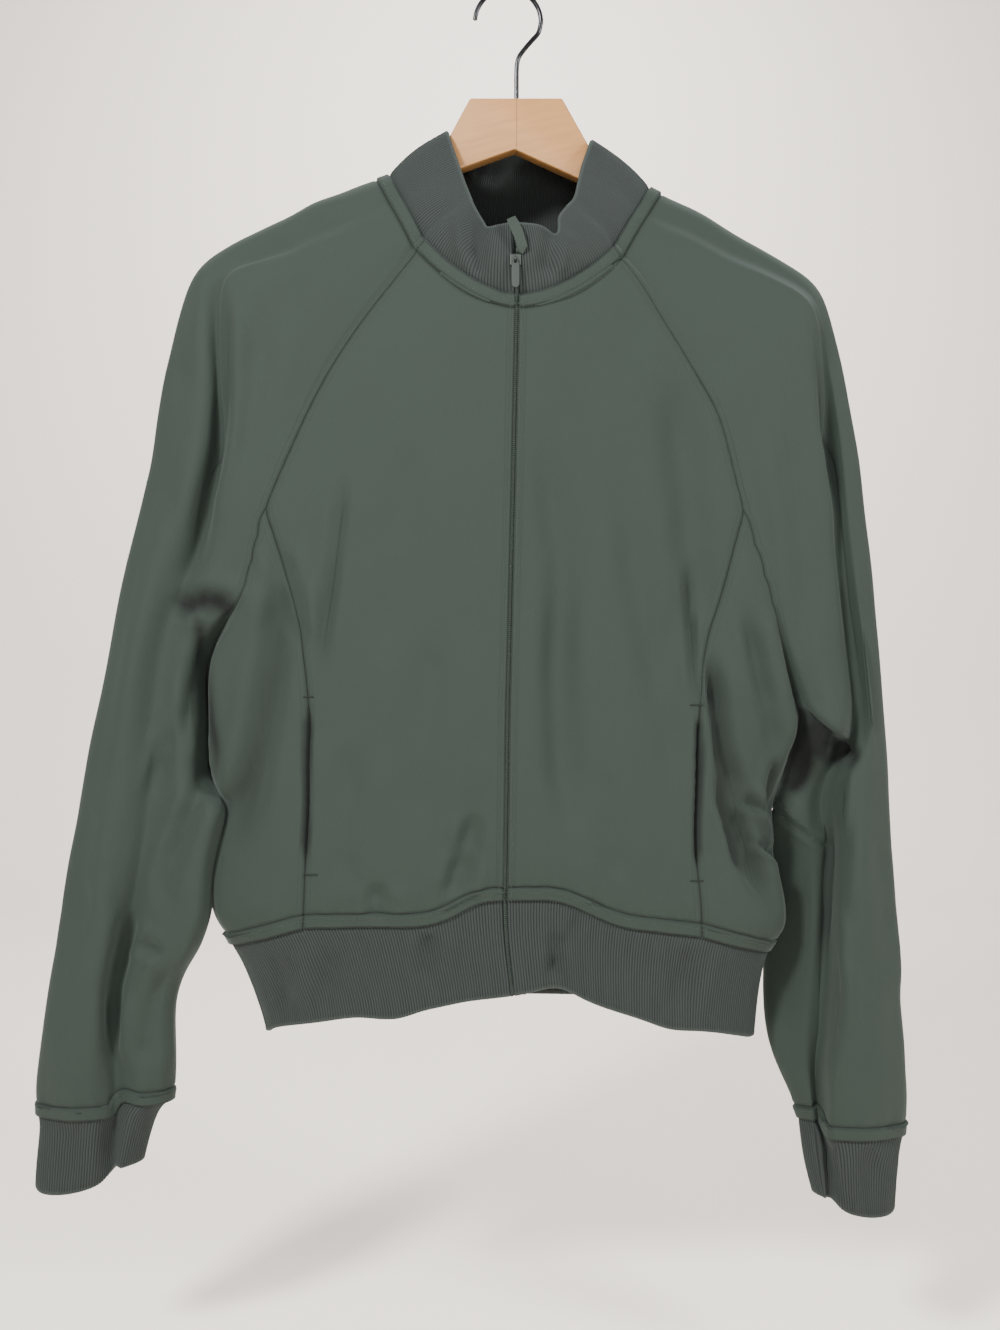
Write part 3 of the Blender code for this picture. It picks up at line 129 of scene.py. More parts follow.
# From neck to armpit on each side: the raglan seam, the sleeve's outer edge, where the
# main sleeve crease crosses the row, and how far each stretch stands out in front.
# sag drops the front's row between zip and seam, body is the cloth beside the seam,
# lap is 1 where the sleeve's outer part lies over its inner part.
Yoke = namedtuple(
    "Yoke",
    "seam_x seam_z seam_out sag outer_x outer_z crease inner crease_out outer lap body back_seam")
YOKES = {LEFT: listed(
    Yoke,
    (-56.6, -193, 48, 8, -86, -133, 0.50, 38, 30, 22, 0.0, 50, 24),
    (-76, -217, 48, 5, -132, -151, 0.60, 40, 32, 22, 0.0, 50, 36),
    (-99, -246, 47, 3, -176, -172, 0.70, 40, 30, 20, 0.0, 49, 41),
    (-120, -277, 46, 1, -210, -191, 0.80, 40, 28, 18, 0.0, 47, 42),
    (-141, -316, 44, 0, -229, -216, 0.69, 41, 28, 26, 0.0, 45, 42),
    (-166, -374, 42, 0, -243, -271, 0.46, 40, 24, 31, 0.0, 43, 40),
    (-176, -409, 40, 0, -254, -338, 0.42, 38, 22, 32, 0.0, 42, 37),
    (-187, -440, 37, 0, -267, -389, 0.45, 35, 22, 31, 0.0, 40, 32),
    (-210, -470, 5, 0, -280, -448, 0.42, 25, 22, 30, 0.0, 34, 24),
    (-214, -507, 1, 0, -290, -499, 0.42, 25, 22, 30, 0.0, 31, 18),
    (-214, -537, 4, 0, -297, -532, 0.42, 25, 21, 29, 0.0, 29, 16),
    (-212, -561, -2, 0, -302, -560, 0.42, 25, 20, 28, 0.0, 27, 2),
), RIGHT: listed(
    Yoke,
    (71, -198, 48, 8, 102, -142, 0.50, 38, 30, 22, 0.0, 50, 24),
    (89, -220, 48, 5, 137, -160, 0.60, 40, 33, 22, 0.0, 50, 36),
    (107, -249, 47, 3, 174, -182, 0.70, 41, 34, 22, 0.0, 49, 41),
    (128, -283, 46, 1, 209, -203, 0.80, 41, 32, 20, 0.0, 48, 42),
    (146, -318, 44, 0, 227, -228, 0.84, 42, 30, 21, 0.0, 46, 42),
    (161, -376, 43, 0, 239, -281, 0.80, 41, 22, 21, 0.2, 44, 40),
    (176, -420, 41, 0, 250, -349, 0.68, 40, 20, 25, 0.3, 43, 37),
    (187, -459, 36, 0, 257, -410, 0.64, 38, 19, 27, 0.4, 41, 33),
    (198, -499, 24, 0, 264, -482, 0.68, 37, 16, 27, 0.6, 38, 26),
    (205, -521, 12, 0, 269, -534, 0.62, 37, 12, 28, 0.9, 34, 19),
    (200, -546, 4, 0, 271, -558, 0.52, 5, 1, 29, 1.0, 28, 17),
    (190, -582, -2, 0, 272, -578, 0.48, 9, 3, 30, 1.0, 22, 4),
)}

# From armpit to hem seam on each side: the side-front seam, the side edge and how far
# the front stands out at the seam and beside the edge.
Skirt = namedtuple("Skirt", "seam_x seam_z seam_out side_x side_z beside")
SKIRTS = {LEFT: listed(
    Skirt,
    (-136, -548, 50, -212, -561, 27), (-136, -564, 50, -201, -577, 26),
    (-136, -582, 50, -205, -594, 26), (-137, -601, 50, -209, -613, 26),
    (-138, -621, 49, -211.5, -633, 27), (-139, -642, 48, -209, -657, 27),
    (-140, -661, 44, -199, -679, 21),
), RIGHT: listed(
    Skirt,
    (129, -551, 50, 190, -582, 22), (128.5, -568, 50, 190, -600, 23),
    (128, -586, 50, 190, -618, 24), (128, -605, 50, 194, -634, 26),
    (129, -625, 49, 198, -650, 27), (131, -646, 48, 198, -667, 26),
    (132, -667, 44, 187, -684, 21),
)}
# The side-front seam between its start on the raglan seam and the armpit row
Point3 = namedtuple("Point3", "x z out")
SIDE_FRONTS = {LEFT: listed(
    Point3,
    (-166, -374, 42), (-152, -421, 45), (-141, -465, 48), (-136, -501, 50), (-135.5, -523, 50),
    (-136, -537, 50), (-136, -548, 50),
), RIGHT: listed(
    Point3,
    (161, -376, 43), (147, -427, 45), (135, -466, 48), (130.5, -499, 50), (129.5, -521, 50),
    (129, -536, 50), (129, -551, 50),
)}
# How the hem seam rises and falls between the zip (share 0) and the side-front seam
Wave = namedtuple("Wave", "share drop")
WAVES = {
    LEFT: [Wave(0, 0), Wave(0.16, 0), Wave(0.3, 9.5), Wave(0.45, 9), Wave(0.7, 4), Wave(1, 0)],
    RIGHT: [Wave(0, 0), Wave(0.15, -4), Wave(0.3, -7), Wave(0.45, 0), Wave(0.6, 3), Wave(1, 0)],
}
WAVE_REACH = [0.0, 0.03, 0.1, 0.22, 0.4, 0.68, 1.0]

# The band's lower edge in front view, and its side edge from seam to hem
Edge = namedtuple("Edge", "x z")
BAND_BOTTOM = listed(
    Edge,
    (-173, -742), (-158, -732), (-139, -729), (-108, -723), (-78, -724), (-62, -718), (-33, -711),
    (2.5, -706), (14, -705), (29, -699), (40, -703), (57, -712), (89, -723), (110, -731),
    (151, -736), (176, -745),
)
BAND_SIDES = {LEFT: [-193.5, -187.5, -181.5, -176, -173], RIGHT: [184, 181.5, 179, 177, 176]}
BAND_DROP = [0.12, 0.30, 0.53, 0.77, 1.0]
BAND_OUT = [20, 19, 18, 18, 18]

# Sleeves from the armpit down, then the cuffs: inner edge, crease, outer edge and how
# far each stretch stands out. step lifts the inner part's row beside the crease.
Sleeve = namedtuple(
    "Sleeve",
    "inner_x inner_z crease_x crease_z step outer_x outer_z inner crease_out outer lap back")
SLEEVES = {LEFT: listed(
    Sleeve,
    (-212, -561, -249, -560, 0, -302, -560, 25, 20, 28, 0.0, 24),
    (-213, -576, -252, -577, 0, -306, -583, 24, 20, 28, 0.0, 24),
    (-210, -593, -254, -596, 0, -310, -604, 24, 20, 28, 0.0, 24),
    (-213, -622, -259, -624, 0, -315, -630, 24, 18, 28, 0.1, 23),
    (-215, -652, -265, -650, 0, -318, -654, 24, 14, 27, 0.2, 23),
    (-221, -677, -270, -675, 0, -322, -679, 22, 11, 26, 0.3, 22),
    (-229, -697, -274, -695, 0, -326, -703, 21, 9, 26, 0.3, 21),
    (-235, -718, -277, -718, 0, -330, -728, 20, 8, 25, 0.3, 20),
    (-237, -742, -278, -742, 2, -334, -753, 20, 8, 25, 0.3, 19),
    (-237, -768, -279, -767, 4, -337, -778, 19, 7, 25, 0.3, 18),
    (-239, -791, -279, -800, 8, -336, -800, 17, 6, 22, 0.4, 16),
), RIGHT: listed(
    Sleeve,
    (190, -582, 232, -580, 0, 272, -578, 9, 3, 30, 1.0, 18),
    (196, -605, 231, -602, 0, 273, -604, 12, 3, 30, 1.0, 19),
    (199, -627, 230, -624, 0, 275, -627, 12, 4, 31, 1.0, 19),
    (203, -648, 229, -648, 0, 277, -652, 12, 4, 31, 1.0, 19),
    (204, -669, 229, -672, 0, 279, -677, 12, 4, 31, 1.0, 19),
    (201, -693, 228, -695, 0, 280, -700, 12, 4, 31, 1.0, 18),
    (198, -718, 226, -718, 0, 281, -723, 12, 4, 31, 1.0, 18),
    (196, -742, 225, -740, 0, 283, -747, 12, 4, 30, 1.0, 17),
    (196, -763, 223, -763, 2, 284, -769, 12, 4, 30, 1.0, 16),
    (201, -783, 223, -784, 4, 285, -789, 12, 4, 29, 1.0, 15),
    (207, -804, 223, -811, 7, 283, -814, 11, 4, 27, 1.0, 14),
)}
CUFFS = {LEFT: listed(
    Sleeve,
    (-248, -798, -281, -807, 6, -334, -809, 16, 7, 20, 0.4, 15),
    (-254, -813, -283, -823, 6, -335, -826, 15, 5, 18, 0.4, 14),
    (-260, -834, -285, -845, 6, -337, -850, 14, 5, 17, 0.4, 14),
), RIGHT: listed(
    Sleeve,
    (209, -815, 226, -823, 7, 279, -825, 11, 5, 25, 1.0, 13),
    (212, -835, 228, -839, 4, 277, -843, 12, 7, 22, 1.0, 12),
    (217, -857, 231, -861, 2, 276, -865, 12, 9, 19, 0.9, 12),
)}
CUFF_BELLY = 6.0

# Largest folds: three points along each valley, its half width and its depth
Fold = namedtuple("Fold", "face x1 z1 x2 z2 x3 z3 half_width depth")
FOLDS = listed(
    Fold,
    ("front", -145, -410, -163, -471, -182, -600, 15, 5),
    ("front", 114, -262, 122, -410, 128, -500, 15, 6),
    ("front", 27, -323, 34, -454, 50, -618, 14, 6),
    ("front", -16, -557, -24, -600, -34, -634, 14, 5),
    ("front", 131, -512, 139, -578, 160, -650, 14, 6),
    ("front", 148, -478, 158, -556, 176, -640, 13, 5),
    ("back", 0, -250, 6, -400, 10, -600, 30, 5),
    ("back", -90, -300, -110, -430, -140, -600, 16, 7),
    ("back", 92, -310, 108, -440, 150, -620, 16, 7),
    ("back", -40, -420, -52, -520, -66, -640, 14, 5),
    ("back", 46, -430, 60, -530, 80, -640, 14, 5),
)
FOLD_FADE = 0.22

# The collar's top edge on each side. share runs along the neck seam: 0 at the zip, 1 at
# the shoulder's ridge and 2 at the centre back.
Rim = namedtuple("Rim", "share x y z")
RIMS = {LEFT: listed(
    Rim,
    (0.00, 1.2, -63, -186), (0.18, -14, -61, -190), (0.46, -24, -47, -168),
    (0.70, -31, -33, -146), (0.83, -38, -20, -122), (0.93, -43, -12, -105),
    (1.00, -44.5, 0, -100.5), (1.09, -46, 12, -100), (1.28, -49, 27, -97), (2.00, 6, 49, -91),
), RIGHT: listed(
    Rim,
    (0.00, 5.0, -63, -186), (0.14, 19, -62, -187), (0.28, 34, -58, -191), (0.42, 35, -49, -175),
    (0.58, 46, -37, -160), (0.79, 52, -22, -132), (0.93, 58.5, -12, -112), (1.00, 60.5, 0, -107),
    (1.09, 62, 12, -106), (1.26, 64, 28, -102), (2.00, 6, 49, -91),
)}
COLLAR_ROWS = 6
COLLAR_BULGE = 3.5
COLLAR_MIDDLE = (4.0, -4.0)
NECK_BACK_SEAM = {LEFT: (-13, 46), RIGHT: (13, 45)}

# Hanger, in x and z: top and lower lines of the wood, and the hook below its bend
WOOD_TOP_Z = -78.5
WOOD_CROWN = [Edge(-41.3, -105.0), Edge(-27, WOOD_TOP_Z), Edge(38.5, WOOD_TOP_Z),
              Edge(57.0, -111.6)]
WOOD_NOTCH = Edge(4.6, -115)
WOOD_LOWER = {LEFT: [Edge(-33, -128.5), Edge(-110, -172), Edge(-206, -213)],
              RIGHT: [Edge(49.5, -135.5), Edge(120, -180), Edge(205, -222)]}
HOOK_TAIL = [(21.8, -29.5), (17.0, -35.3), (11.9, -41.2), (7.9, -46.9), (6.4, -52.8), (6.1, -60.0)]


def smooth_rows(table: Sequence, steps: Any) -> list:
    """Rows of numbers along a smooth curve through the table's rows.

    Args:
        table: rows of numbers.
        steps: parts of each gap, or one number for all.

    Returns:
        Rows along the curve.
    """
    rows = np.array(table, dtype=float)
    count = len(rows)
    if isinstance(steps, int):
        steps = [steps] * (count - 1)
    out = []
    for i, parts in enumerate(steps):
        before, start, end = rows[max(i - 1, 0)], rows[i], rows[i + 1]
        after = rows[min(i + 2, count - 1)]
        for part in range(parts):
            t = part / parts
            out.append(0.5 * (2 * start + (end - before) * t
                              + (2 * before - 5 * start + 4 * end - after) * t * t
                              + (3 * start - before - 3 * end + after) * t ** 3))
    out.append(rows[-1])
    return out


def mix(a: Any, b: Any, share: float) -> Any:
    """Point or number at a share of the way from a to b."""
    return a + (b - a) * share


def ease(value: float) -> float:
    """Smooth step from 0 to 1."""
    t = min(max(value, 0.0), 1.0)
    return t * t * (3 - 2 * t)


def rounded(gap: float) -> float:
    """Share of the full depth that a rounded edge has at a distance from the edge."""
    return math.sqrt(1.0 - (1.0 - min(gap / ROUND_REACH, 1.0)) ** 2)


def beside_seam(edge: float, full: float) -> tuple:
    """Where the two points next to a seam or edge lie, and how far each stands out."""
    return (NEAR_SEAM, OFF_SEAM, mix(edge, full, rounded(NEAR_SEAM)),
            mix(edge, full, rounded(OFF_SEAM)))


def point(x: float, out: float, z: float) -> np.ndarray:
    """Point at x and z, standing out in front of the hanger's plane."""
    return np.array((x, -out, z), dtype=float)


def fold_depth(face: str, x: float, z: float) -> float:
    """How far the main folds sink into one face of the jacket at x, z.

    Args:
        face: front or back.
        x: sideways.
        z: height.

    Returns:
        Depth of the folds there.
    """
    total = 0.0
    for fold in FOLDS:
        if fold.face != face:
            continue
        knots = np.array([(fold.x1, fold.z1), (fold.x2, fold.z2), (fold.x3, fold.z3)], dtype=float)
        nearest, along = 1e9, 0.0
        for i in (0, 1):
            run = knots[i + 1] - knots[i]
            t = np.clip(np.dot((x, z) - knots[i], run) / np.dot(run, run), 0.0, 1.0)
            distance = np.linalg.norm((x, z) - (knots[i] + run * t))
            if distance < nearest:
                nearest, along = distance, (i + t) / 2
        ends = ease(along / FOLD_FADE) * ease((1 - along) / FOLD_FADE)
        total += fold.depth * ends * math.exp(-(nearest / fold.half_width) ** 2)
    return total


def front_stretch(
        centre: Any, side: int, seam: Sequence, sag: float, wave_share: float,
        waves: Sequence) -> Row:
    """Points from the zip's edge to the first seam of one side.

    Args:
        centre: row of the zip line.
        side: LEFT or RIGHT.
        seam: first seam: x, z and depth.
        sag: drop between zip and seam.
        wave_share: how much of the hem wave is in the row.
        waves: the hem wave.

    Returns:
        The points.
    """
    start = np.array((centre.zip_x + side * ZIP_HALF_GAP, centre.zip_z, centre.zip_out))
    out = []
    for column in range(FRONT_COLUMNS + 1):
        share = column / FRONT_COLUMNS
        x, z = mix(start[0], seam[0], share), mix(start[1], seam[1], share)
        z -= sag * 4 * share * (1 - share)
        z -= wave_share * np.interp(share, [w.share for w in waves], [w.drop for w in waves])
        depth = seam[2] + (start[2] - seam[2]) * (1 - share ** 2)
        if column < FRONT_COLUMNS:
            depth -= fold_depth("front", x, z) * min(1.0, share * 5)
        out.append(point(x, depth, z))
    return out


def side_stretch(start: Sequence, end: Sequence, beside: float, columns: int) -> Row:
    """Points from the side-front seam to the raglan seam or the side edge.

    Args:
        start: x, z and depth of the first seam.
        end: the same of the raglan seam or edge.
        beside: depth beside the end.
        columns: columns in this row.

    Returns:
        The points.
    """
    length = math.dist(start[:2], end[:2])
    if columns < SIDE_COLUMNS:
        shares = [i / max(columns, 1) for i in range(columns + 1)]
    else:
        off, near = 1 - OFF_SEAM / length, 1 - NEAR_SEAM / length
        shares = [0.0, 0.45 * off, off, near, 1.0]
    out = []
    for share in shares:
        x, z = mix(start[0], end[0], share), mix(start[1], end[1], share)
        full = mix(start[2], beside, share ** 1.6)
        depth = end[2] + (full - end[2]) * rounded((1 - share) * length)
        if 0 < share < 1:
            depth -= fold_depth("front", x, z) * rounded((1 - share) * length)
        out.append(point(x, depth if share > 0 else start[2], z))
    return out


def outer_edge(radius: float, depth: float, length: float) -> tuple:
    """How far a rounded outer edge stands out at its radius and half way round.

    Args:
        radius: of the edge.
        depth: of the cloth.
        length: of the stretch.

    Returns:
        Depth at the radius, and half way round.
    """
    full = mix(0.35, 0.75, ease((LOBE_WIDE - length) / LOBE_WIDE * 2.0))
    round_out = radius + full * max(depth - radius, 0.0)
    return round_out, mix(radius, round_out, 0.5) * math.sqrt(0.5)


def sleeve_front(
        inner: Sequence, crease: Sequence, outer: Sequence, step: float, depths: Sequence,
        lap: float, near: Sequence, radius: float) -> Row:
    """Front points of a sleeve row: inner edge or seam, crease, outer edge.

    Args:
        inner: inner edge or seam.
        crease: where the main crease crosses.
        outer: outer edge.
        step: lift of the inner part.
        depths: of the inner part, crease, outer part and edge.
        lap: 1 where the outer part laps over.
        near: the two columns beside the seam.
        radius: of the outer edge.

    Returns:
        The points.
    """
    inner_out, crease_out, outer_out, edge_out = depths
    inner, crease, outer = np.array(inner), np.array(crease), np.array(outer)
    first, last = np.linalg.norm(crease - inner), np.linalg.norm(outer - crease)
    before_gap, after_gap = mix(9.0, LAP_BEFORE, lap), mix(8.0, LAP_AFTER, lap)
    before = mix(inner, crease, 1 - before_gap / first) + np.array((0.0, step))
    near_at = mix(inner, before, min(near[0] / first, 0.25))
    off_at = mix(inner, before, min(near[1] / first, 0.55))
    after = mix(crease, outer, min(after_gap / last, 0.22))
    radius = min(radius, 0.6 * last)
    turn = mix(crease, outer, 1 - radius / last)
    edge = mix(crease, outer, 1 - ARC_SHARE * radius / last)
    places = [inner, near_at, off_at, mix(off_at, before, 0.5), before, crease, after,
              mix(after, turn, 0.5), turn, edge, outer]
    soft_before, soft_after = mix(inner_out, crease_out, 0.4), mix(crease_out, outer_out, 0.6)
    round_out, arc_out = outer_edge(radius, outer_out, last)
    outs = [edge_out, near[2], near[3], inner_out, mix(soft_before, crease_out, lap),
            mix(crease_out, outer_out * 0.75, lap), mix(soft_after, outer_out, lap), outer_out,
            round_out, arc_out, 0.0]
    return [point(at[0], out, at[1]) for at, out in zip(places, outs)]


def sleeve_back(
        outer: Sequence, inner: Sequence, depth: float, inner_back: float, near: Sequence,
        radius: float) -> Row:
    """Back points of a sleeve row, from its outer edge to the inner edge or back seam.

    Args:
        outer: outer edge.
        inner: inner edge or back seam.
        depth: of the row.
        inner_back: depth at its end.
        near: the two columns beside the seam.
        radius: of the outer edge.

    Returns:
        The points.
    """
    outer, inner = np.array(outer), np.array(inner)
    length = np.linalg.norm(inner - outer)
    radius = min(radius, 0.3 * length)
    turn, off = radius / length, 1 - min(near[1] / length, 0.35)
    shares = [0.0, ARC_SHARE * turn, turn, mix(turn, off, 0.33), mix(turn, off, 0.67), off,
              1 - (1 - off) * near[0] / near[1], 1.0]
    round_out, arc_out = outer_edge(radius, depth, length)
    outs = [0.0, arc_out, round_out, depth, depth, near[3], near[2], inner_back]
    places = [mix(outer, inner, share) for share in shares]
    return [point(at[0], -out, at[1]) for at, out in zip(places, outs)]


def back_stretch(seam: Sequence, centre: Any, near: Sequence, sag: float) -> Row:
    """Back points from the back seam or side edge to the centre back.

    Args:
        seam: x, z and depth of the seam or edge.
        centre: row of the centre line.
        near: the two columns beside the seam.
        sag: drop half way.

    Returns:
        The points.
    """
    start, end = np.array(seam[:2]), np.array((CENTRE_BACK_X, centre.back_z))
    length = np.linalg.norm(end - start)
    first, second = near[0] / length, near[1] / length
    rest = [mix(second, 1.0, i / (BACK_COLUMNS - 2)) for i in range(BACK_COLUMNS - 1)]
    out = []
    for share in [0.0, first] + rest:
        at = mix(start, end, share)
        z = at[1] - sag * 4 * share * (1 - share)
        if share == 0.0:
            depth = seam[2]
        elif share == first:
            depth = near[2]
        else:
            run = (share - second) / (1 - second)
            depth = near[3] + (centre.back_out - near[3]) * (1 - (1 - run) ** 2)
            depth -= fold_depth("back", at[0], z) * (1.0 if share < 1.0 else 0.0)
        out.append(point(at[0], -depth, z))
    return out


def with_strip(rows: Rows, at_end: bool) -> Rows:
    """Rows with two more beside the seam row, for the topstitched strip and its step.

    Args:
        rows: rows of points.
        at_end: whether the seam is the last row.

    Returns:
        The rows with two more.
    """
    seam, next_row = (rows[-1], rows[-2]) if at_end else (rows[0], rows[1])
    extra = []
    for distance in (STRIP_WIDTH, STRIP_WIDTH + STRIP_STEP):
        line = []
        for a, b in zip(seam, next_row):
            line.append(a + (b - a) * (distance / np.linalg.norm(b - a)))
        extra.append(line)
    if at_end:
        return rows[:-1] + [extra[1], extra[0], seam]
    return [seam] + extra + rows[1:]


def yoke_side(side: int) -> dict:
    """Rows of one side from the neck seam to the armpit, by stretch of the ring.

    Args:
        side: LEFT or RIGHT.

    Returns:
        Rows by stretch.
    """
    centres = [Centre(*row) for row in smooth_rows(YOKE_CENTRE, YOKE_STEPS)]
    rows = [Yoke(*row) for row in smooth_rows(YOKES[side], YOKE_STEPS)]
    start = sum(YOKE_STEPS[:SIDE_SEAM_START])
    seams = smooth_rows(SIDE_FRONTS[side], YOKE_STEPS[SIDE_SEAM_START:])
    places = {"front": [], "side": [], "sleeve": [], "sleeve_back": [], "back": []}
    shift_x, shift_z = NECK_BACK_SEAM[side]
    for i, (centre, row) in enumerate(zip(centres, rows)):
        raglan = (row.seam_x, row.seam_z, row.seam_out)
        first_seam = raglan if i <= start else tuple(seams[i - start])
        places["front"].append(front_stretch(centre, side, first_seam, row.sag, 0.0, WAVES[side]))
        if i >= start:
            columns = min(i - start, SIDE_COLUMNS)
            places["side"].append(side_stretch(first_seam, raglan, row.body, columns))
        share = i / (len(rows) - 1)
        pull = (1 - share) ** 1.3
        back_seam = (row.seam_x + shift_x * pull, row.seam_z + shift_z * pull)
        shoulder = mix(NECK_EDGE, SHOULDER_EDGE, ease(share * 9))
        radius = mix(shoulder, SLEEVE_EDGE, ease((share - 0.35) / 0.35))
        outer = (row.outer_x, row.outer_z)
        crease = (mix(row.seam_x, row.outer_x, row.crease),
                  mix(row.seam_z, row.outer_z, row.crease))
        near = beside_seam(row.seam_out, row.inner)
        places["sleeve"].append(sleeve_front(
            raglan[:2], crease, outer, 0.0, (row.inner, row.crease_out, row.outer, row.seam_out),
            row.lap, near, radius))
        depth = mix(BACK_AT_NECK, BACK_AT_SHOULDER, ease(share * 2.5))
        depth = mix(depth, BACK_AT_ARMPIT[LEFT], ease((share - 0.6) / 0.4))
        if side == RIGHT:
            depth = mix(depth, BACK_AT_ARMPIT[RIGHT], ease((share - 0.8) / 0.2))
        near = beside_seam(row.back_seam, depth)
        places["sleeve_back"].append(sleeve_back(
            outer, back_seam, depth, row.back_seam, near, radius))
        depth = mix(min(row.back_seam + 4, centre.back_out), BODY_AT_ARMPIT,
                    ease((share - 0.7) / 0.3))
        near = beside_seam(row.back_seam, depth)
        places["back"].append(back_stretch(
            (*back_seam, row.back_seam), centre, near, 5.0 * (1 - share)))
    armpit = places["sleeve"][-1][0]
    for name, column in (("side", -1), ("sleeve_back", -1), ("back", 0)):
        places[name][-1][column] = armpit
    for name in AROUND:
        places[name] = with_strip(places[name], at_end=False)
    return places


def skirt_side(side: int, yoke: dict) -> dict:
    """Rows of one side from the armpit row to the hem seam.

    Args:
        side: LEFT or RIGHT.
        yoke: rows above the armpit.

    Returns:
        Rows by stretch.
    """
    places = {name: [yoke[name][-1]] for name in BELOW}
    for row, centre, reach in list(zip(SKIRTS[side], SKIRT_CENTRE, WAVE_REACH))[1:]:
        seam = (row.seam_x, row.seam_z, row.seam_out)
        edge = (row.side_x, row.side_z, 0.0)
        places["front"].append(front_stretch(centre, side, seam, 0.0, reach, WAVES[side]))
        places["side"].append(side_stretch(seam, edge, row.beside, SIDE_COLUMNS))
        near = beside_seam(0.0, row.beside)
        places["back"].append(back_stretch((row.side_x, row.side_z, 0.0), centre, near, 0.0))
    return {name: with_strip(rows, at_end=True) for name, rows in places.items()}


def band_side(side: int, skirt: dict) -> dict:
    """Rows of one side of the rib band, from the hem seam to the lower edge.

    Args:
        side: LEFT or RIGHT.
        skirt: rows above the hem seam.

    Returns:
        Rows by stretch.
    """
    seams = {name: skirt[name][-1] for name in BELOW}
    places = {name: [seams[name]] for name in seams}
    bottom_x, bottom_z = [e.x for e in BAND_BOTTOM], [e.z for e in BAND_BOTTOM]
    end = BAND_SIDES[side]
    edge_start = seams["side"][-1]
    for i, drop in enumerate(BAND_DROP):
        centre = BAND_CENTRE[i]
        zip_x = centre.zip_x + side * ZIP_HALF_GAP
        seam_zip_x = seams["front"][0][0]
        scale = (end[i] - zip_x) / (edge_start[0] - seam_zip_x)
        final = (end[-1] - zip_x) / (edge_start[0] - seam_zip_x)
        for name in ("front", "side"):
            line = []
            for at in seams[name]:
                x = zip_x + (at[0] - seam_zip_x) * scale
                low = np.interp(zip_x + (at[0] - seam_zip_x) * final, bottom_x, bottom_z)
                share = abs(at[0] - seam_zip_x) / abs(edge_start[0] - seam_zip_x)
                out = -at[1] * (centre.zip_out / -seams["front"][0][1])
                out *= mix(1.0, BAND_OUT[i] / 20.0, share)
                line.append(point(x, out, mix(at[2], low, drop)))
            places[name].append(line)
        places[name][-1][-1] = point(end[i], 0.0, places[name][-1][-1][2])
        line = []
        for at in seams["back"]:
            share = (at[0] - edge_start[0]) / (seams["back"][-1][0] - edge_start[0])
            x = mix(end[i], CENTRE_BACK_X, share)
            low = mix(places["side"][-1][-1][2], centre.back_z, ease(share * 1.6))
            line.append(np.array((x, at[1] * centre.back_out / SKIRT_CENTRE[-1].back_out, low)))
        line[0] = places["side"][-1][-1]
        places["back"].append(line)
    return places


def tube_rows(table: Sequence, belly: float = 0.0) -> Rows:
    """Closed rings of a sleeve or cuff, each from the inner edge round the front and back.

    Args:
        table: sleeve or cuff rows.
        belly: how far the last row sags.

    Returns:
        Closed rings.
    """
    rings = []
    for row in table:
        radius = min(SLEEVE_EDGE, 0.9 * row.outer)
        inner, outer = (row.inner_x, row.inner_z), (row.outer_x, row.outer_z)
        front = sleeve_front(inner, (row.crease_x, row.crease_z), outer, row.step,
                             (row.inner, row.crease_out, row.outer, 0.0), row.lap,
                             beside_seam(0.0, row.inner), radius)
        back = sleeve_back(outer, inner, row.back, 0.0, beside_seam(0.0, row.back), radius)
        back[-1] = front[0]
        rings.append(front + back[1:-1])
    if belly:
        for column in range(5, SLEEVE_COLUMNS):
            share = (column - 5) / (SLEEVE_COLUMNS - 5)
            rings[-1][column][2] -= belly * math.sin(math.pi * share)
    return rings


def collar_side(side: int, yoke: dict) -> Rows:
    """Rows of one side of the collar, from the neck seam to the top edge.

    Args:
        side: LEFT or RIGHT.
        yoke: rows above the armpit.

    Returns:
        The rows.
    """
    seam = whole_line([yoke[name][0] for name in AROUND])
    steps = [0.0]
    for a, b in zip(seam, seam[1:]):
        steps.append(steps[-1] + np.linalg.norm(b - a))
    ridge = steps[FRONT_COLUMNS + SLEEVE_COLUMNS]
    rim = RIMS[side]
    shares = [r.share for r in rim]
    rows = [seam]
    middle = np.array(COLLAR_MIDDLE)
    for i in range(1, COLLAR_ROWS + 1):
        rise = i / COLLAR_ROWS
        line = []
        for at, step in zip(seam, steps):
            share = step / ridge if step < ridge else 1 + (step - ridge) / (steps[-1] - ridge)
            top = np.array([np.interp(share, shares, [getattr(r, axis) for r in rim])
                            for axis in "xyz"])
            spot = mix(at, top, rise)
            away = spot[:2] - middle
            push = COLLAR_BULGE * math.sin(math.pi * rise) / np.linalg.norm(away)
            spot[0] += away[0] * push * ease(share * 6)
            spot[1] += away[1] * push
            line.append(spot)
        rows.append(line)
    return rows


def spline(points: np.ndarray, places: np.ndarray, closed: bool = False) -> np.ndarray:
    """Points on the smooth curve that a subdivided edge of these control points has.

    Args:
        points: control points along the first axis.
        places: where to take it, 0 at the first control point and 1 more at each next.
        closed: whether the last point joins the first.

    Returns:
        One point for each place.
    """
    count = len(points)
    last = count if closed else count - 1
    start = np.clip(np.floor(places).astype(int), 0, last - 1)
    f = (places - start).reshape((-1,) + (1,) * (points.ndim - 1))
    if closed:
        near = [points[(start + k) % count] for k in (-1, 0, 1, 2)]
    else:
        ends = (2 * points[:1] - points[1:2], points, 2 * points[-1:] - points[-2:-1])
        held = np.concatenate(ends)
        near = [held[start + k] for k in (0, 1, 2, 3)]
    shares = ((1 - f) ** 3, 3 * f ** 3 - 6 * f ** 2 + 4, -3 * f ** 3 + 3 * f ** 2 + 3 * f + 1,
              f ** 3)
    return sum(share * at for share, at in zip(shares, near)) / 6


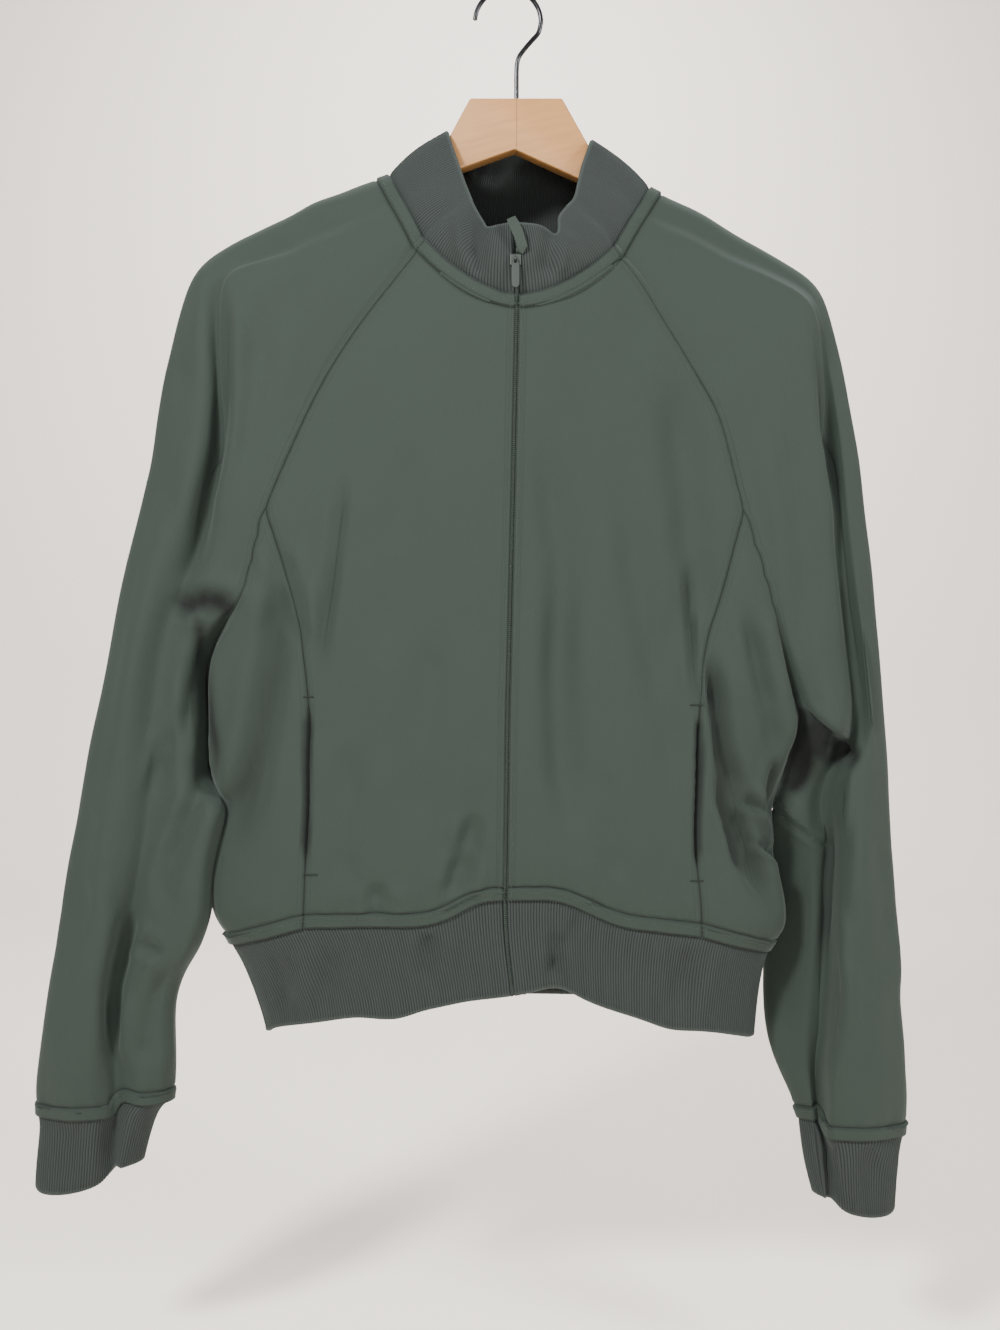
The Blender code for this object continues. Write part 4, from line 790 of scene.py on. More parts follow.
def smooth_step(value: np.ndarray, low: float, high: float) -> np.ndarray:
    """Smooth step of each value, from 0 at low to 1 at high."""
    t = np.clip((value - low) / (high - low), 0.0, 1.0)
    return t * t * (3 - 2 * t)


def distances(spots: np.ndarray, marks: np.ndarray) -> np.ndarray:
    """Distance of each spot from the nearest mark.

    Args:
        spots: points.
        marks: points, closer together than the distances that matter.

    Returns:
        One distance for each spot.
    """
    tree = KDTree(len(marks))
    for i, at in enumerate(marks):
        tree.insert(at, i)
    tree.balance()
    return np.array([tree.find(at)[2] for at in spots])


# ---- the sewn cloth

class Panel(Enum):
    """The cut pieces of smooth cloth, by node name."""

    FRONT_LEFT = "front_left"
    FRONT_RIGHT = "front_right"
    SIDE_LEFT = "side_left"
    SIDE_RIGHT = "side_right"
    SLEEVE_LEFT = "sleeve_left"
    SLEEVE_RIGHT = "sleeve_right"
    BACK = "back"


class Zone(Enum):
    """Which pieces a crease runs over."""

    BODY = ("front_left", "front_right", "side_left", "side_right")
    UNDERARM_LEFT = ("sleeve_left", "side_left")
    BAND = ("hem_band",)
    CUFF_LEFT = ("cuff_left",)
    CUFF_RIGHT = ("cuff_right",)
    COLLAR = ("collar",)
    COLLAR_BACK = ("collar back",)
    BODY_BACK = ("back",)
    SLEEVE_LEFT = ("sleeve_left",)
    SLEEVE_RIGHT = ("sleeve_right",)


@dataclass(frozen=True)
class Crease:
    """A trough with soft ridges beside it.

    The path is in the picture's pixels, or in millimetres x and z for the back. shade is how
    much shade is painted into its bottom, and crisp how far one side laps over the other, as a
    share.
    """

    zone: Zone
    path: tuple
    half_width: float
    depth: float
    steep: float = 0.0
    shade: float = 0.0
    crisp: float = 0.0

    def scaled(self, scale: float) -> "Crease":
        """The same crease with its path scaled."""
        return replace(self, path=tuple((x * scale, y * scale) for x, y in self.path))


def creases(zone: Zone, *rows: tuple) -> tuple:
    """Creases of one zone, each row a path, a half width, a depth and what follows it."""
    return tuple(Crease(zone, *row) for row in rows)


@dataclass(frozen=True)
class Picture:
    """Where the camera stands and what one pixel is at the hanger's plane."""

    x: float = -5.7
    z: float = -481.6
    distance: float = 950.0
    pixel: float = 0.715
    centre: tuple = (500.0, 665.0)
    height: int = 1330

    def project(self, spots: np.ndarray) -> np.ndarray:
        """Pixel places of points in millimetres.

        Args:
            spots: the points.

        Returns:
            Pixels right and down.
        """
        grow = self.distance / (self.distance + spots[:, 1]) / self.pixel
        return np.stack((self.centre[0] + (spots[:, 0] - self.x) * grow,
                         self.centre[1] + (self.z - spots[:, 2]) * grow), axis=1)

    def ray(self, spot: Sequence) -> Vector:
        """Direction from the camera through a pixel.

        Args:
            spot: the pixel.

        Returns:
            Unit direction.
        """
        across = (spot[0] - self.centre[0]) * self.pixel
        down = (spot[1] - self.centre[1]) * self.pixel
        return Vector((across, self.distance, -down)).normalized()

    def eye(self) -> Vector:
        """The camera's place in millimetres."""
        return Vector((self.x, -self.distance, self.z))


PICTURE = Picture()
SUBDIVISIONS = 3
FIT_ROUNDS, FIT_SHARE = 3, 0.85
FAR = 30.0
NEAR_ZERO = 1e-9
# How far a face has turned to the front or back where creases start and are full
TURN = (0.02, 0.45)
# A crease: scale of all depths, height of a lap and how it fades, place and depth of the
# ridges beside the trough, and the shares of its length over which its ends fade
CREASE_SCALE = 1.35
CRISP_STEP, CRISP_EDGE, CRISP_REACH = 0.9, 0.8, 7.0
RIDGE_AT, RIDGE_SHARE = 2.0, 0.5
STEEP_SHARE = 0.55
END_FADE = (0.22, 0.28)
# Seams: depth and half width of the groove, depth of an open pocket slit, and the raised
# strip along the edges with the groove beyond it
SEAM_DEPTH, SEAM_SPREAD, SLIT_DEPTH = 1.1, 1.3, 3.4
STRIP_LIFT, STRIP_END = 1.3, (7.3, 8.6)
STRIP_GROOVE, STRIP_GROOVE_AT, STRIP_GROOVE_HALF = 0.7, 9.1, 0.8
PUCKER, PUCKER_REACH = 0.34, 5.5
GATHER, GATHER_START, GATHER_REACH, GATHER_BELOW = 0.5, (8.0, 11.0), 13.0, -560.0
ZIP_FOLD = 0.35
# The zip's line in x for heights below the hook, to tell its edges from the others
ZIP_DOWN, ZIP_X, ZIP_NEAR = (235, 358, 482, 536, 640), (5.8, 3.3, 0.3, -0.8, -2.3), 3.2
# The pocket slits in the picture's pixels
SLITS = (((309, 699), (306, 760), (304, 802), (307, 874)), ((697, 706), (697, 880)))

# Each row: path, half width, depth, and where given steepness, painted shade in the trough and
# crisp lap
CREASES = (
    # left sleeve
    *creases(
        Zone.SLEEVE_LEFT,
        (((223, 278), (227, 331), (227, 395), (222, 445), (209, 495), (200, 545), (193, 588)),
         6.0, 2.6, -0.5, 0.25, 0.9),
        (((262, 300), (258, 360), (250, 430), (243, 480)), 10, 1.8, 0.2),
        (((185, 330), (180, 400), (168, 470), (160, 540)), 9, 1.6, 0.2),
        (((180, 702), (165, 750), (152, 802)), 6.5, 2.6, 0.4),
        (((209, 766), (184, 823), (166, 873), (159, 916)), 6.5, 3.2, 0.4),
        (((134, 905), (124, 950), (116, 985), (113, 1073)), 6.0, 4.2, -0.4),
        (((134, 938), (148, 948), (164, 953)), 4.5, 2.4, 0.0),
        (((176, 960), (150, 1010), (140, 1075)), 9.0, 3.0, 0.2),
        (((205, 640), (192, 700), (186, 760)), 7.0, 2.2, 0.3),
        (((90, 800), (82, 880), (78, 960)), 8.0, 1.6, 0.0),
        (((353, 205), (300, 236), (222, 282)), 8.0, 1.6, 0.3),
        # painted shade in the hollow under the left armpit
        (((172, 612), (188, 605), (204, 602), (220, 605), (240, 616)), 6.5, 3.0, 0.2, 1.3, 0.9),
    ),
    # painted shade alone for the dark gap between the left sleeve and the body
    *creases(
        Zone.UNDERARM_LEFT,
        (((192, 600), (200, 632), (206, 680), (211, 721), (217, 752), (217, 790)), 3.6, 0.6, 0.0,
         1.0),
    ),
    # left chest and left of the zip
    *creases(
        Zone.BODY,
        (((274, 540), (284, 575), (298, 612), (306, 660)), 6.5, 2.8, 0.0, 0.12),
        (((284, 560), (274, 640), (259, 730), (247, 790), (230, 868)), 9.0, 4.4, 0.3, 0.3),
        (((346, 470), (338, 545), (329, 610), (317, 692)), 5.0, 1.7, -0.3, 0.15, 0.8),
        (((405, 430), (396, 560), (384, 680)), 14.0, 1.3, 0.0),
        (((476, 810), (463, 856), (446, 905)), 7.0, 3.0, 0.4),
        (((377, 880), (376, 935)), 7.0, 2.2, 0.0),
        (((352, 740), (344, 820), (340, 900)), 10.0, 1.6, 0.0),
        (((430, 620), (424, 740), (414, 850)), 14.0, 1.5, 0.0),
    ),
    # right of the zip and right chest
    *creases(
        Zone.BODY,
        (((540, 400), (551, 502), (559, 559), (556, 674), (559, 766), (573, 845), (593, 900)),
         9.0, 2.0, 0.3),
        (((612, 440), (628, 520), (640, 600), (652, 659), (668, 731), (685, 815)), 11.0, 2.2,
         0.2),
        (((668, 380), (684, 460), (692, 559), (697, 640)), 12.0, 2.3, 0.3),
        (((689, 560), (690, 610), (693, 660), (699, 716)), 3.6, 2.2, -0.3, 0.35, -1.0),
        (((704, 640), (711, 680), (718, 731), (722, 802), (737, 859), (764, 912)), 5.6, 6.4, 0.5,
         0.65, 0.7),
        (((725, 735), (739, 818), (758, 880), (782, 922)), 5.6, 4.8, 0.3, 0.4, 0.6),
        (((744, 600), (758, 670), (770, 725), (776, 770)), 6.0, 3.4, 0.3, 0.2),
        (((780, 752), (770, 796), (772, 828), (782, 866)), 4.2, 3.4, 0.0, 0.7),
        (((742, 775), (756, 822), (776, 862), (788, 884)), 4.4, 3.4, 0.0, 0.3),
        (((738, 800), (752, 804), (768, 812)), 4.0, 2.2, 0.3, 0.4, 0.6),
        (((752, 838), (766, 850), (786, 862)), 3.4, 3.0, 0.3, 0.5, 0.6),
    ),
    # painted shade in the hollow under the right armpit
    *creases(
        Zone.SLEEVE_RIGHT,
        (((792, 700), (800, 738), (798, 766), (788, 800)), 9.0, 1.5, 0.0, 2.2),
        (((796, 722), (818, 742), (838, 752), (866, 758)), 8.0, 1.5, 0.0, 2.0),
    ),
    *creases(
        Zone.BODY,
        (((600, 760), (612, 840), (620, 900)), 10.0, 1.5, 0.0),
    ),
    # right sleeve
    *creases(
        Zone.SLEEVE_RIGHT,
        (((815, 290), (826, 410), (837, 502), (847, 602), (858, 674), (870, 780)), 6.5, 3.2, 0.5,
         0.15, 0.8),
        (((780, 420), (800, 520), (808, 616), (797, 665)), 9.0, 2.4, 0.2),
        (((844, 780), (833, 909), (830, 1016), (822, 1100)), 6.0, 3.4, 0.4),
        (((847, 890), (860, 950), (876, 1010)), 8.0, 2.2, 0.2),
        (((880, 820), (886, 900), (884, 1000)), 8.0, 1.6, 0.0),
        (((786, 706), (806, 716), (832, 738), (862, 764)), 5.0, 3.4, -0.5, 1.0, -0.9),
        (((848, 752), (842, 790), (832, 845), (824, 980)), 4.2, 3.0, -0.4, 0.6, 0.8),
        (((764, 800), (784, 818), (797, 829), (834, 850)), 2.2, 1.6, 0.0),
    ),
    # back: plain folds from the shoulders and above the hem
    *creases(
        Zone.BODY_BACK,
        (((-70, -260), (-96, -400), (-120, -520)), 14.0, 3.0, 0.2),
        (((72, -270), (92, -410), (126, -540)), 14.0, 3.0, -0.2),
        (((10, -330), (-8, -470), (-16, -640)), 12.0, 2.4, 0.1),
        (((-150, -470), (-132, -560), (-118, -650)), 9.0, 3.0, 0.3),
        (((152, -500), (140, -580), (120, -655)), 9.0, 3.0, -0.3),
        (((44, -520), (56, -590), (60, -655)), 9.0, 2.2, 0.0),
    ),
)
RIB_CREASES = (
    *creases(
        Zone.BAND,
        (((430, 930), (427, 960), (424, 985)), 6.0, 2.4, 0.0),
        (((548, 925), (553, 950), (556, 985)), 4.5, 1.7, 0.3),
        (((582, 915), (566, 940), (545, 985)), 5.0, 1.6, -0.3),
        (((530, 938), (551, 944), (575, 940)), 3.5, 1.0, 0.0),
        (((690, 945), (684, 980), (676, 1020)), 9.0, 2.0, 0.0),
        (((330, 945), (326, 985), (318, 1020)), 8.0, 2.2, 0.2),
        (((275, 950), (282, 985), (290, 1022)), 7.0, 1.8, 0.2),
    ),
    *creases(
        Zone.CUFF_LEFT,
        (((111, 1090), (108, 1130), (104, 1180)), 5.0, 0.8, 0.2),
        (((70, 1115), (72, 1150), (70, 1185)), 7.0, 1.4, 0.0),
    ),
    *creases(
        Zone.CUFF_RIGHT,
        (((824, 1115), (830, 1160), (838, 1200)), 4.0, 3.4, 0.3),
        (((868, 1140), (872, 1175), (868, 1205)), 6.0, 1.6, 0.0),
    ),
    *creases(
        Zone.COLLAR_BACK,
        (((450, 188), (474, 178), (514, 184)), 7.0, -1.6, 0.3),
    ),
    *creases(
        Zone.COLLAR,
        (((470, 205), (474, 245), (480, 285)), 6.0, 3.0, 0.4),
        (((556, 225), (550, 255), (545, 280)), 6.0, 2.6, -0.4),
    ),
)
# The same kind of plain creases on the unseen backs of the sleeves, in x and z
SLEEVE_BACK_CREASES = (
    *creases(
        Zone.SLEEVE_LEFT,
        (((-216, -260), (-232, -360), (-252, -470)), 9.0, 3.0, 0.2),
        (((-262, -560), (-268, -640), (-276, -720)), 8.0, 3.0, 0.2),
        (((-300, -640), (-302, -700), (-306, -770)), 8.0, 2.2, 0.0),
    ),
    *creases(
        Zone.SLEEVE_RIGHT,
        (((200, -270), (214, -370), (232, -480)), 9.0, 3.0, 0.2),
        (((232, -570), (238, -650), (244, -730)), 8.0, 3.0, 0.2),
        (((256, -620), (262, -700), (258, -780)), 8.0, 2.2, 0.0),
    ),
)


@dataclass
class Surface:
    """A mesh as arrays: points in millimetres, outward directions, and four-sided faces."""

    points: np.ndarray
    normals: np.ndarray
    faces: np.ndarray

    def edges(self) -> np.ndarray:
        """Each directed edge of each face, in the order of the faces."""
        return np.stack((self.faces, np.roll(self.faces, -1, axis=1)), axis=2).reshape(-1, 2)

    def rim(self) -> np.ndarray:
        """Directed edges that one face alone uses.

        Returns:
            Pairs of point numbers.
        """
        edges = self.edges()
        base = len(self.points) + 1
        keys, back = edges[:, 0] * base + edges[:, 1], edges[:, 1] * base + edges[:, 0]
        return edges[~np.isin(keys, back)]

    def walled(self, wall: float) -> "Surface":
        """Closed wall whose outer side is this surface, with a rounded rim.

        Args:
            wall: thickness.

        Returns:
            The closed surface.
        """
        count = len(self.points)
        inner = self.points - self.normals * wall
        rim = self.rim()
        run = self.points[rim[:, 1]] - self.points[rim[:, 0]]
        out = np.zeros((count, 3))
        for k in (0, 1):
            np.add.at(out, rim[:, k], np.cross(run, self.normals[rim[:, k]]))
        on_rim = np.unique(rim)
        out = out[on_rim] / np.maximum(np.linalg.norm(out[on_rim], axis=1), NEAR_ZERO)[:, None]
        middle = (self.points[on_rim] + inner[on_rim]) / 2 + out * wall * 0.35
        place = np.full(count, -1)
        place[on_rim] = 2 * count + np.arange(len(on_rim))
        a, b = rim[:, 0], rim[:, 1]
        faces = [self.faces, self.faces[:, ::-1] + count,
                 np.stack((b, a, place[a], place[b]), axis=1),
                 np.stack((place[b], place[a], a + count, b + count), axis=1)]
        return Surface(np.concatenate((self.points, inner, middle)), self.normals,
                       np.concatenate(faces))

    def mesh(self, name: str) -> bpy.types.Mesh:
        """Blender mesh in metres.

        Args:
            name: its name.

        Returns:
            The mesh.
        """
        made = bpy.data.meshes.new(name)
        made.from_pydata((self.points * MM).tolist(), [], self.faces.tolist())
        made.validate()
        made.shade_smooth()
        return made


class Cage:
    """Control points and faces of the smooth cloth, as one connected surface."""

    def __init__(self) -> None:
        """Start with nothing."""
        self.points: list = []
        self.index: dict = {}
        self.faces: list = []
        self.panels: list = []

    def vertex(self, at: np.ndarray) -> int:
        """Number of the point at a place, made if it is new.

        Args:
            at: the place.

        Returns:
            The number.
        """
        key = tuple(np.round(at, 3))
        if key not in self.index:
            self.index[key] = len(self.points)
            self.points.append(np.array(at, dtype=float))
        return self.index[key]

    def sheet(self, panel: Panel, rows: Rows, flip: bool, closed: bool = False) -> None:
        """Add the faces between rows of points.

        Args:
            panel: the panel they belong to.
            rows: rows of points.
            flip: whether the rows run the other way round.
            closed: whether each row is a ring.
        """
        numbers = [[self.vertex(at) for at in row] for row in rows]
        for upper, lower in zip(numbers, numbers[1:]):
            if closed:
                upper, lower = upper + upper[:1], lower + lower[:1]
            made = [[upper[j], lower[j], lower[j + 1], upper[j + 1]] for j in range(len(upper) - 1)]
            if len(lower) == len(upper) + 1:
                made.append([upper[-1], lower[-2], lower[-1]])
            self.faces += [face[::-1] if flip else face for face in made]
            self.panels += [list(Panel).index(panel)] * len(made)

    def fit(self) -> None:
        """Move the control points until the smooth surface runs through their old places."""
        wanted = np.array(self.points)
        self.points = wanted.copy()
        for _ in range(FIT_ROUNDS):
            reached = self.subdivided(2)[0].points[:len(wanted)]
            self.points = self.points + (wanted - reached) * FIT_SHARE

    def subdivided(self, levels: int) -> tuple:
        """The smooth surface, and the panel of each of its faces.

        Args:
            levels: how often each face is divided.

        Returns:
            The surface and an array of panel numbers.
        """
        mesh = bpy.data.meshes.new("cloth_cage")
        mesh.from_pydata([tuple(at) for at in self.points], [], self.faces)
        for panel in Panel:
            mesh.materials.append(bpy.data.materials.new(panel.value + "_mark"))
        mesh.polygons.foreach_set("material_index", self.panels)
        made = bpy.data.objects.new("cloth_cage", mesh)
        bpy.context.collection.objects.link(made)
        step = made.modifiers.new("smooth", "SUBSURF")
        step.levels = step.render_levels = levels
        step.boundary_smooth = "PRESERVE_CORNERS"
        graph = bpy.context.evaluated_depsgraph_get()
        fine = bpy.data.meshes.new_from_object(made.evaluated_get(graph))
        points = np.zeros(len(fine.vertices) * 3)
        fine.vertices.foreach_get("co", points)
        faces = np.zeros(len(fine.loops), dtype=int)
        fine.loops.foreach_get("vertex_index", faces)
        panels = np.zeros(len(fine.polygons), dtype=int)
        fine.polygons.foreach_get("material_index", panels)
        bpy.data.objects.remove(made)
        for used in (mesh, fine):
            bpy.data.meshes.remove(used)
        for panel in Panel:
            bpy.data.materials.remove(bpy.data.materials[panel.value + "_mark"])
        points, faces = points.reshape(-1, 3), faces.reshape(-1, 4)
        return Surface(points, facing(points, faces), faces), panels


def facing(points: np.ndarray, faces: np.ndarray) -> np.ndarray:
    """Outward direction at each point.

    Args:
        points: the points.
        faces: four corners each.

    Returns:
        Unit directions.
    """
    total = np.zeros(points.shape)
    a, b, c, d = (points[faces[:, k]] for k in range(4))
    cross = np.cross(c - a, d - b)
    cross /= np.maximum(np.linalg.norm(cross, axis=1), NEAR_ZERO)[:, None]
    for k in range(4):
        np.add.at(total, faces[:, k], cross)
    return total / np.maximum(np.linalg.norm(total, axis=1), NEAR_ZERO)[:, None]


def crease_shape(spots: np.ndarray, crease: Crease) -> tuple:
    """How far a crease moves each spot outwards, and where its line runs.

    Args:
        spots: flat places in millimetres.
        crease: the crease, its path in the same flat places.

    Returns:
        Lift in millimetres, distance from the line with a sign for the side, and
        closeness to it from 0 to 1.
    """
    knots = np.array(crease.path, dtype=float)
    best = np.full(len(spots), 1e9)
    signed, along = np.zeros(len(spots)), np.zeros(len(spots))
    lengths = np.linalg.norm(np.diff(knots, axis=0), axis=1)
    done = 0.0
    for start, run, length in zip(knots, np.diff(knots, axis=0), lengths):
        t = np.clip(((spots - start) @ run) / length ** 2, 0.0, 1.0)
        away = spots - start - t[:, None] * run
        distance = np.linalg.norm(away, axis=1)
        side = np.sign(away[:, 0] * run[1] - away[:, 1] * run[0])
        near = distance < best
        best[near] = distance[near]
        signed[near] = (distance * side)[near]
        along[near] = ((done + t * length) / lengths.sum())[near]
        done += length
    width = crease.half_width * (1 + crease.steep * np.sign(signed) * STEEP_SHARE)
    sway = 1 + 0.22 * np.sin(along * 9.0 + knots[0, 0]) + 0.12 * np.sin(along * 23.0 + knots[0, 1])
    share = best / width
    trough = np.exp(-share ** 2) - RIDGE_SHARE * np.exp(-(share - RIDGE_AT) ** 2)
    ends = smooth_step(along, 0.0, END_FADE[0]) * smooth_step(1 - along, 0.0, END_FADE[1])
    lift = -CREASE_SCALE * crease.depth * trough * sway
    lift += (crease.crisp * CRISP_STEP * np.tanh(signed / CRISP_EDGE)
             * np.exp(-best / CRISP_REACH))
    return lift * ends, signed + np.sign(signed) * FAR * (1 - ends), np.exp(-share ** 2) * ends


class Tailor:
    """Turns the cage into the creased, seamed cloth pieces."""

    def __init__(self, rows: dict) -> None:
        """Join the panels of both sides.

        Args:
            rows: control points of both sides.
        """
        self.rows = rows
        cage = Cage()
        for side, word in ((LEFT, "LEFT"), (RIGHT, "RIGHT")):
            flip = side == LEFT
            yoke, skirt, tube = (rows[side][name] for name in ("yoke", "skirt", "tube"))
            for name in ("front", "side"):
                cage.sheet(Panel[name.upper() + "_" + word], yoke[name] + skirt[name][1:], flip)
            sleeve = Panel["SLEEVE_" + word]
            cage.sheet(sleeve, yoke["sleeve"], flip)
            cage.sheet(sleeve, yoke["sleeve_back"], flip)
            cage.sheet(sleeve, tube, flip, closed=True)
            cage.sheet(Panel.BACK, yoke["back"] + skirt["back"][1:], flip)
        cage.fit()
        self.cage = cage
        self.surface, self.panels = cage.subdivided(SUBDIVISIONS)
        self.names = np.array([panel.value for panel in Panel])
        self.relief()

    def members(self, names: Sequence) -> np.ndarray:
        """Whether each point is on one of the named panels.

        Args:
            names: panel names.

        Returns:
            True or false by point.
        """
        wanted = np.isin(self.names[self.panels], names)
        on = np.zeros(len(self.surface.points), dtype=bool)
        on[self.surface.faces[wanted].ravel()] = True
        return on

    def seam_marks(self) -> np.ndarray:
        """Points along every seam between two panels.

        Returns:
            The points.
        """
        faces, edges = self.surface.faces, self.surface.edges()
        owner = np.repeat(self.panels, faces.shape[1])
        low, high = edges.min(axis=1), edges.max(axis=1)
        key = low * (len(self.surface.points) + 1) + high
        order = np.argsort(key, kind="stable")
        key, owner, edges = key[order], owner[order], edges[order]
        pair = (key[1:] == key[:-1]) & (owner[1:] != owner[:-1])
        return self.between(edges[1:][pair])

    def between(self, edges: np.ndarray) -> np.ndarray:
        """Points closely along edges."""
        a, b = self.surface.points[edges[:, 0]], self.surface.points[edges[:, 1]]
        return np.concatenate([a + (b - a) * share for share in (0.0, 0.25, 0.5, 0.75)])

    def creased(self, front: np.ndarray) -> tuple:
        """What the creases do to each point.

        Args:
            front: how far each point faces the front, from 0 to 1.

        Returns:
            Lift in millimetres, painted shade from 0 to 1, and distance from the nearest lap.
        """
        points, normals = self.surface.points, self.surface.normals
        lift, shade, fold = np.zeros(len(points)), np.zeros(len(points)), np.full(len(points), FAR)
        seen, flat = PICTURE.project(points) * PICTURE.pixel, points[:, (0, 2)]
        rear = smooth_step(normals[:, 1], *TURN)
        for crease in CREASES + SLEEVE_BACK_CREASES:
            on = self.members(crease.zone.value)
            behind = crease in SLEEVE_BACK_CREASES or crease.zone is Zone.BODY_BACK
            places, turned, scale = (flat, rear, 1.0) if behind else (seen, front, PICTURE.pixel)
            moved, gap, close = crease_shape(places[on], crease.scaled(scale))
            turned = turned[on]
            lift[on] += moved * turned
            shade[on] = np.maximum(shade[on], crease.shade * close * turned)
            if crease.crisp:
                gap += np.sign(gap) * FAR * (1 - turned)
                fold[on] = np.where(np.abs(gap) < np.abs(fold[on]), gap, fold[on])
        return lift, shade, fold

    def gaps(self) -> tuple:
        """Distance of each point from the seams, the open edges and the zip's edges.

        Returns:
            Three arrays in millimetres.
        """
        surface = self.surface
        rim = surface.rim()
        middle = surface.points[rim].mean(axis=1)
        zip_x = np.interp(-middle[:, 2], ZIP_DOWN, ZIP_X)
        at_zip = (np.abs(middle[:, 0] - zip_x) < ZIP_NEAR) & (middle[:, 1] < -FAR)
        return (distances(surface.points, self.seam_marks()),
                distances(surface.points, self.between(rim[~at_zip])),
                distances(surface.points, self.between(rim[at_zip])))

    def relief(self) -> None:
        """Move the points: creases, soft unevenness, seams, puckers and raised strips."""
        surface = self.surface
        points, normals = surface.points, surface.normals
        front = smooth_step(-normals[:, 1], *TURN)
        lift, shade, fold = self.creased(front)
        x, y, z = points.T
        lift += 0.55 * np.sin(x / 17.0 + z / 71.0 + 1.3) * np.sin(z / 43.0 - x / 90.0 + y / 40.0)
        lift += 0.28 * np.sin(x / 7.7 - z / 29.0 + 0.4) * np.sin(z / 21.0 + x / 31.0 + 2.0)
        seams, edge, opening = self.gaps()
        lift *= smooth_step(edge, 0.0, 14.0) * (0.35 + 0.65 * smooth_step(seams, 0.0, 9.0))
        lift *= 0.25 + 0.75 * smooth_step(opening, 0.0, 14.0)
        pucker = np.sin(z / 1.9 + 2.2 * np.sin(z / 13.0)) * np.exp(-seams / PUCKER_REACH)
        lift += PUCKER * pucker * (0.6 + 0.4 * np.sin(z / 31.0))
        around = np.sin(x / 2.3 + 1.7 * np.sin(x / 17.0) + y / 4.0)
        beyond = smooth_step(edge, *GATHER_START) * np.exp(-(edge - GATHER_START[0]) / GATHER_REACH)
        lift += GATHER * around * np.where(edge > 7, beyond, 0.0) * (z < GATHER_BELOW)
        groove = np.exp(-(seams / SEAM_SPREAD) ** 2)
        lift -= SEAM_DEPTH * groove
        slit = np.zeros(len(points))
        seen = PICTURE.project(points) * PICTURE.pixel
        for path in SLITS:
            line = Crease(Zone.BODY, path, 4.0, 1.0).scaled(PICTURE.pixel)
            slit = np.maximum(slit, crease_shape(seen, line)[2] * front)
        slit = np.clip(2.2 * slit, 0.0, 1.0)
        lift -= SLIT_DEPTH * slit * groove
        lift += STRIP_LIFT * (1 - smooth_step(edge, *STRIP_END))
        lift -= STRIP_GROOVE * np.exp(-((edge - STRIP_GROOVE_AT) / STRIP_GROOVE_HALF) ** 2)
        lift += ZIP_FOLD * (1 - smooth_step(opening, 3.0, 5.5)) * smooth_step(edge, 7.0, 10.0)
        # Painted shade: the creases' shade, with more in the open pocket slits
        shade = np.clip(shade + slit * np.exp(-(seams / (1.3 + 2.0 * slit)) ** 4), 0.0, 1.0)
        self.paint = {"seam_gap": np.minimum(seams, FAR), "edge_gap": np.minimum(edge, FAR),
                      "zip_gap": np.minimum(opening, FAR), "fold_gap": fold, "shade": shade}
        surface.points = points + normals * lift[:, None]
        surface.normals = facing(surface.points, surface.faces)
        self.tree = BVHTree.FromPolygons(surface.points.tolist(), surface.faces.tolist())

    def fitted(self, row: Sequence) -> np.ndarray:
        """Where the control points of a row were moved to."""
        return np.array([self.cage.points[self.cage.vertex(at)] for at in row])

    def piece(self, panel: Panel) -> tuple:
        """One panel's outer side.

        Args:
            panel: which one.

        Returns:
            The surface, and its distances from seams, edges and folds and its painted shade, by
            name.
        """
        chosen = self.surface.faces[self.panels == list(Panel).index(panel)]
        used, again = np.unique(chosen, return_inverse=True)
        side = Surface(self.surface.points[used], self.surface.normals[used], again.reshape(-1, 4))
        return side, {name: values[used] for name, values in self.paint.items()}

    def snapped(self, line: np.ndarray, above: float) -> list:
        """A line of points moved onto the cloth.

        Args:
            line: points near the cloth.
            above: how far they end above it.

        Returns:
            Points in millimetres.
        """
        out = []
        for at in line:
            spot, direction, _, _ = self.tree.find_nearest(Vector(at))
            out.append(np.array(spot + direction * above))
        return out

    def seen(self, path: Sequence, above: float, step: float = 2.0) -> list:
        """Points on the cloth behind a path in the picture.

        Args:
            path: pixels.
            above: how far they end above the cloth.
            step: pixels from one to the next.

        Returns:
            Points in millimetres.
        """
        out = []
        for start, end in zip(path, path[1:]):
            parts = max(1, int(math.dist(start, end) / step))
            for part in range(parts + 1):
                spot = mix(np.array(start, dtype=float), np.array(end, dtype=float), part / parts)
                hit, direction, _, _ = self.tree.ray_cast(PICTURE.eye(), PICTURE.ray(spot))
                if hit is not None:
                    out.append(np.array(hit + direction * above))
        return out


# ---- ribs

@dataclass(frozen=True)
class RibCut:
    """How a rib piece is knitted, and how it is sewn in, in millimetres.

    seen_columns are columns at the front of an open and of a closed piece.
    """

    pitch: float = 1.9
    height: float = 0.62
    roundness: float = 0.62
    per_rib: int = 4
    row_step: float = 4.2
    wall: float = 2.4
    tuck: tuple = (3.0, 1.4)
    tuck_sink: tuple = (2.0, 1.6)
    seam_sink: float = 1.3
    seam_reach: float = 2.6
    seen_columns: tuple = (12, 40)


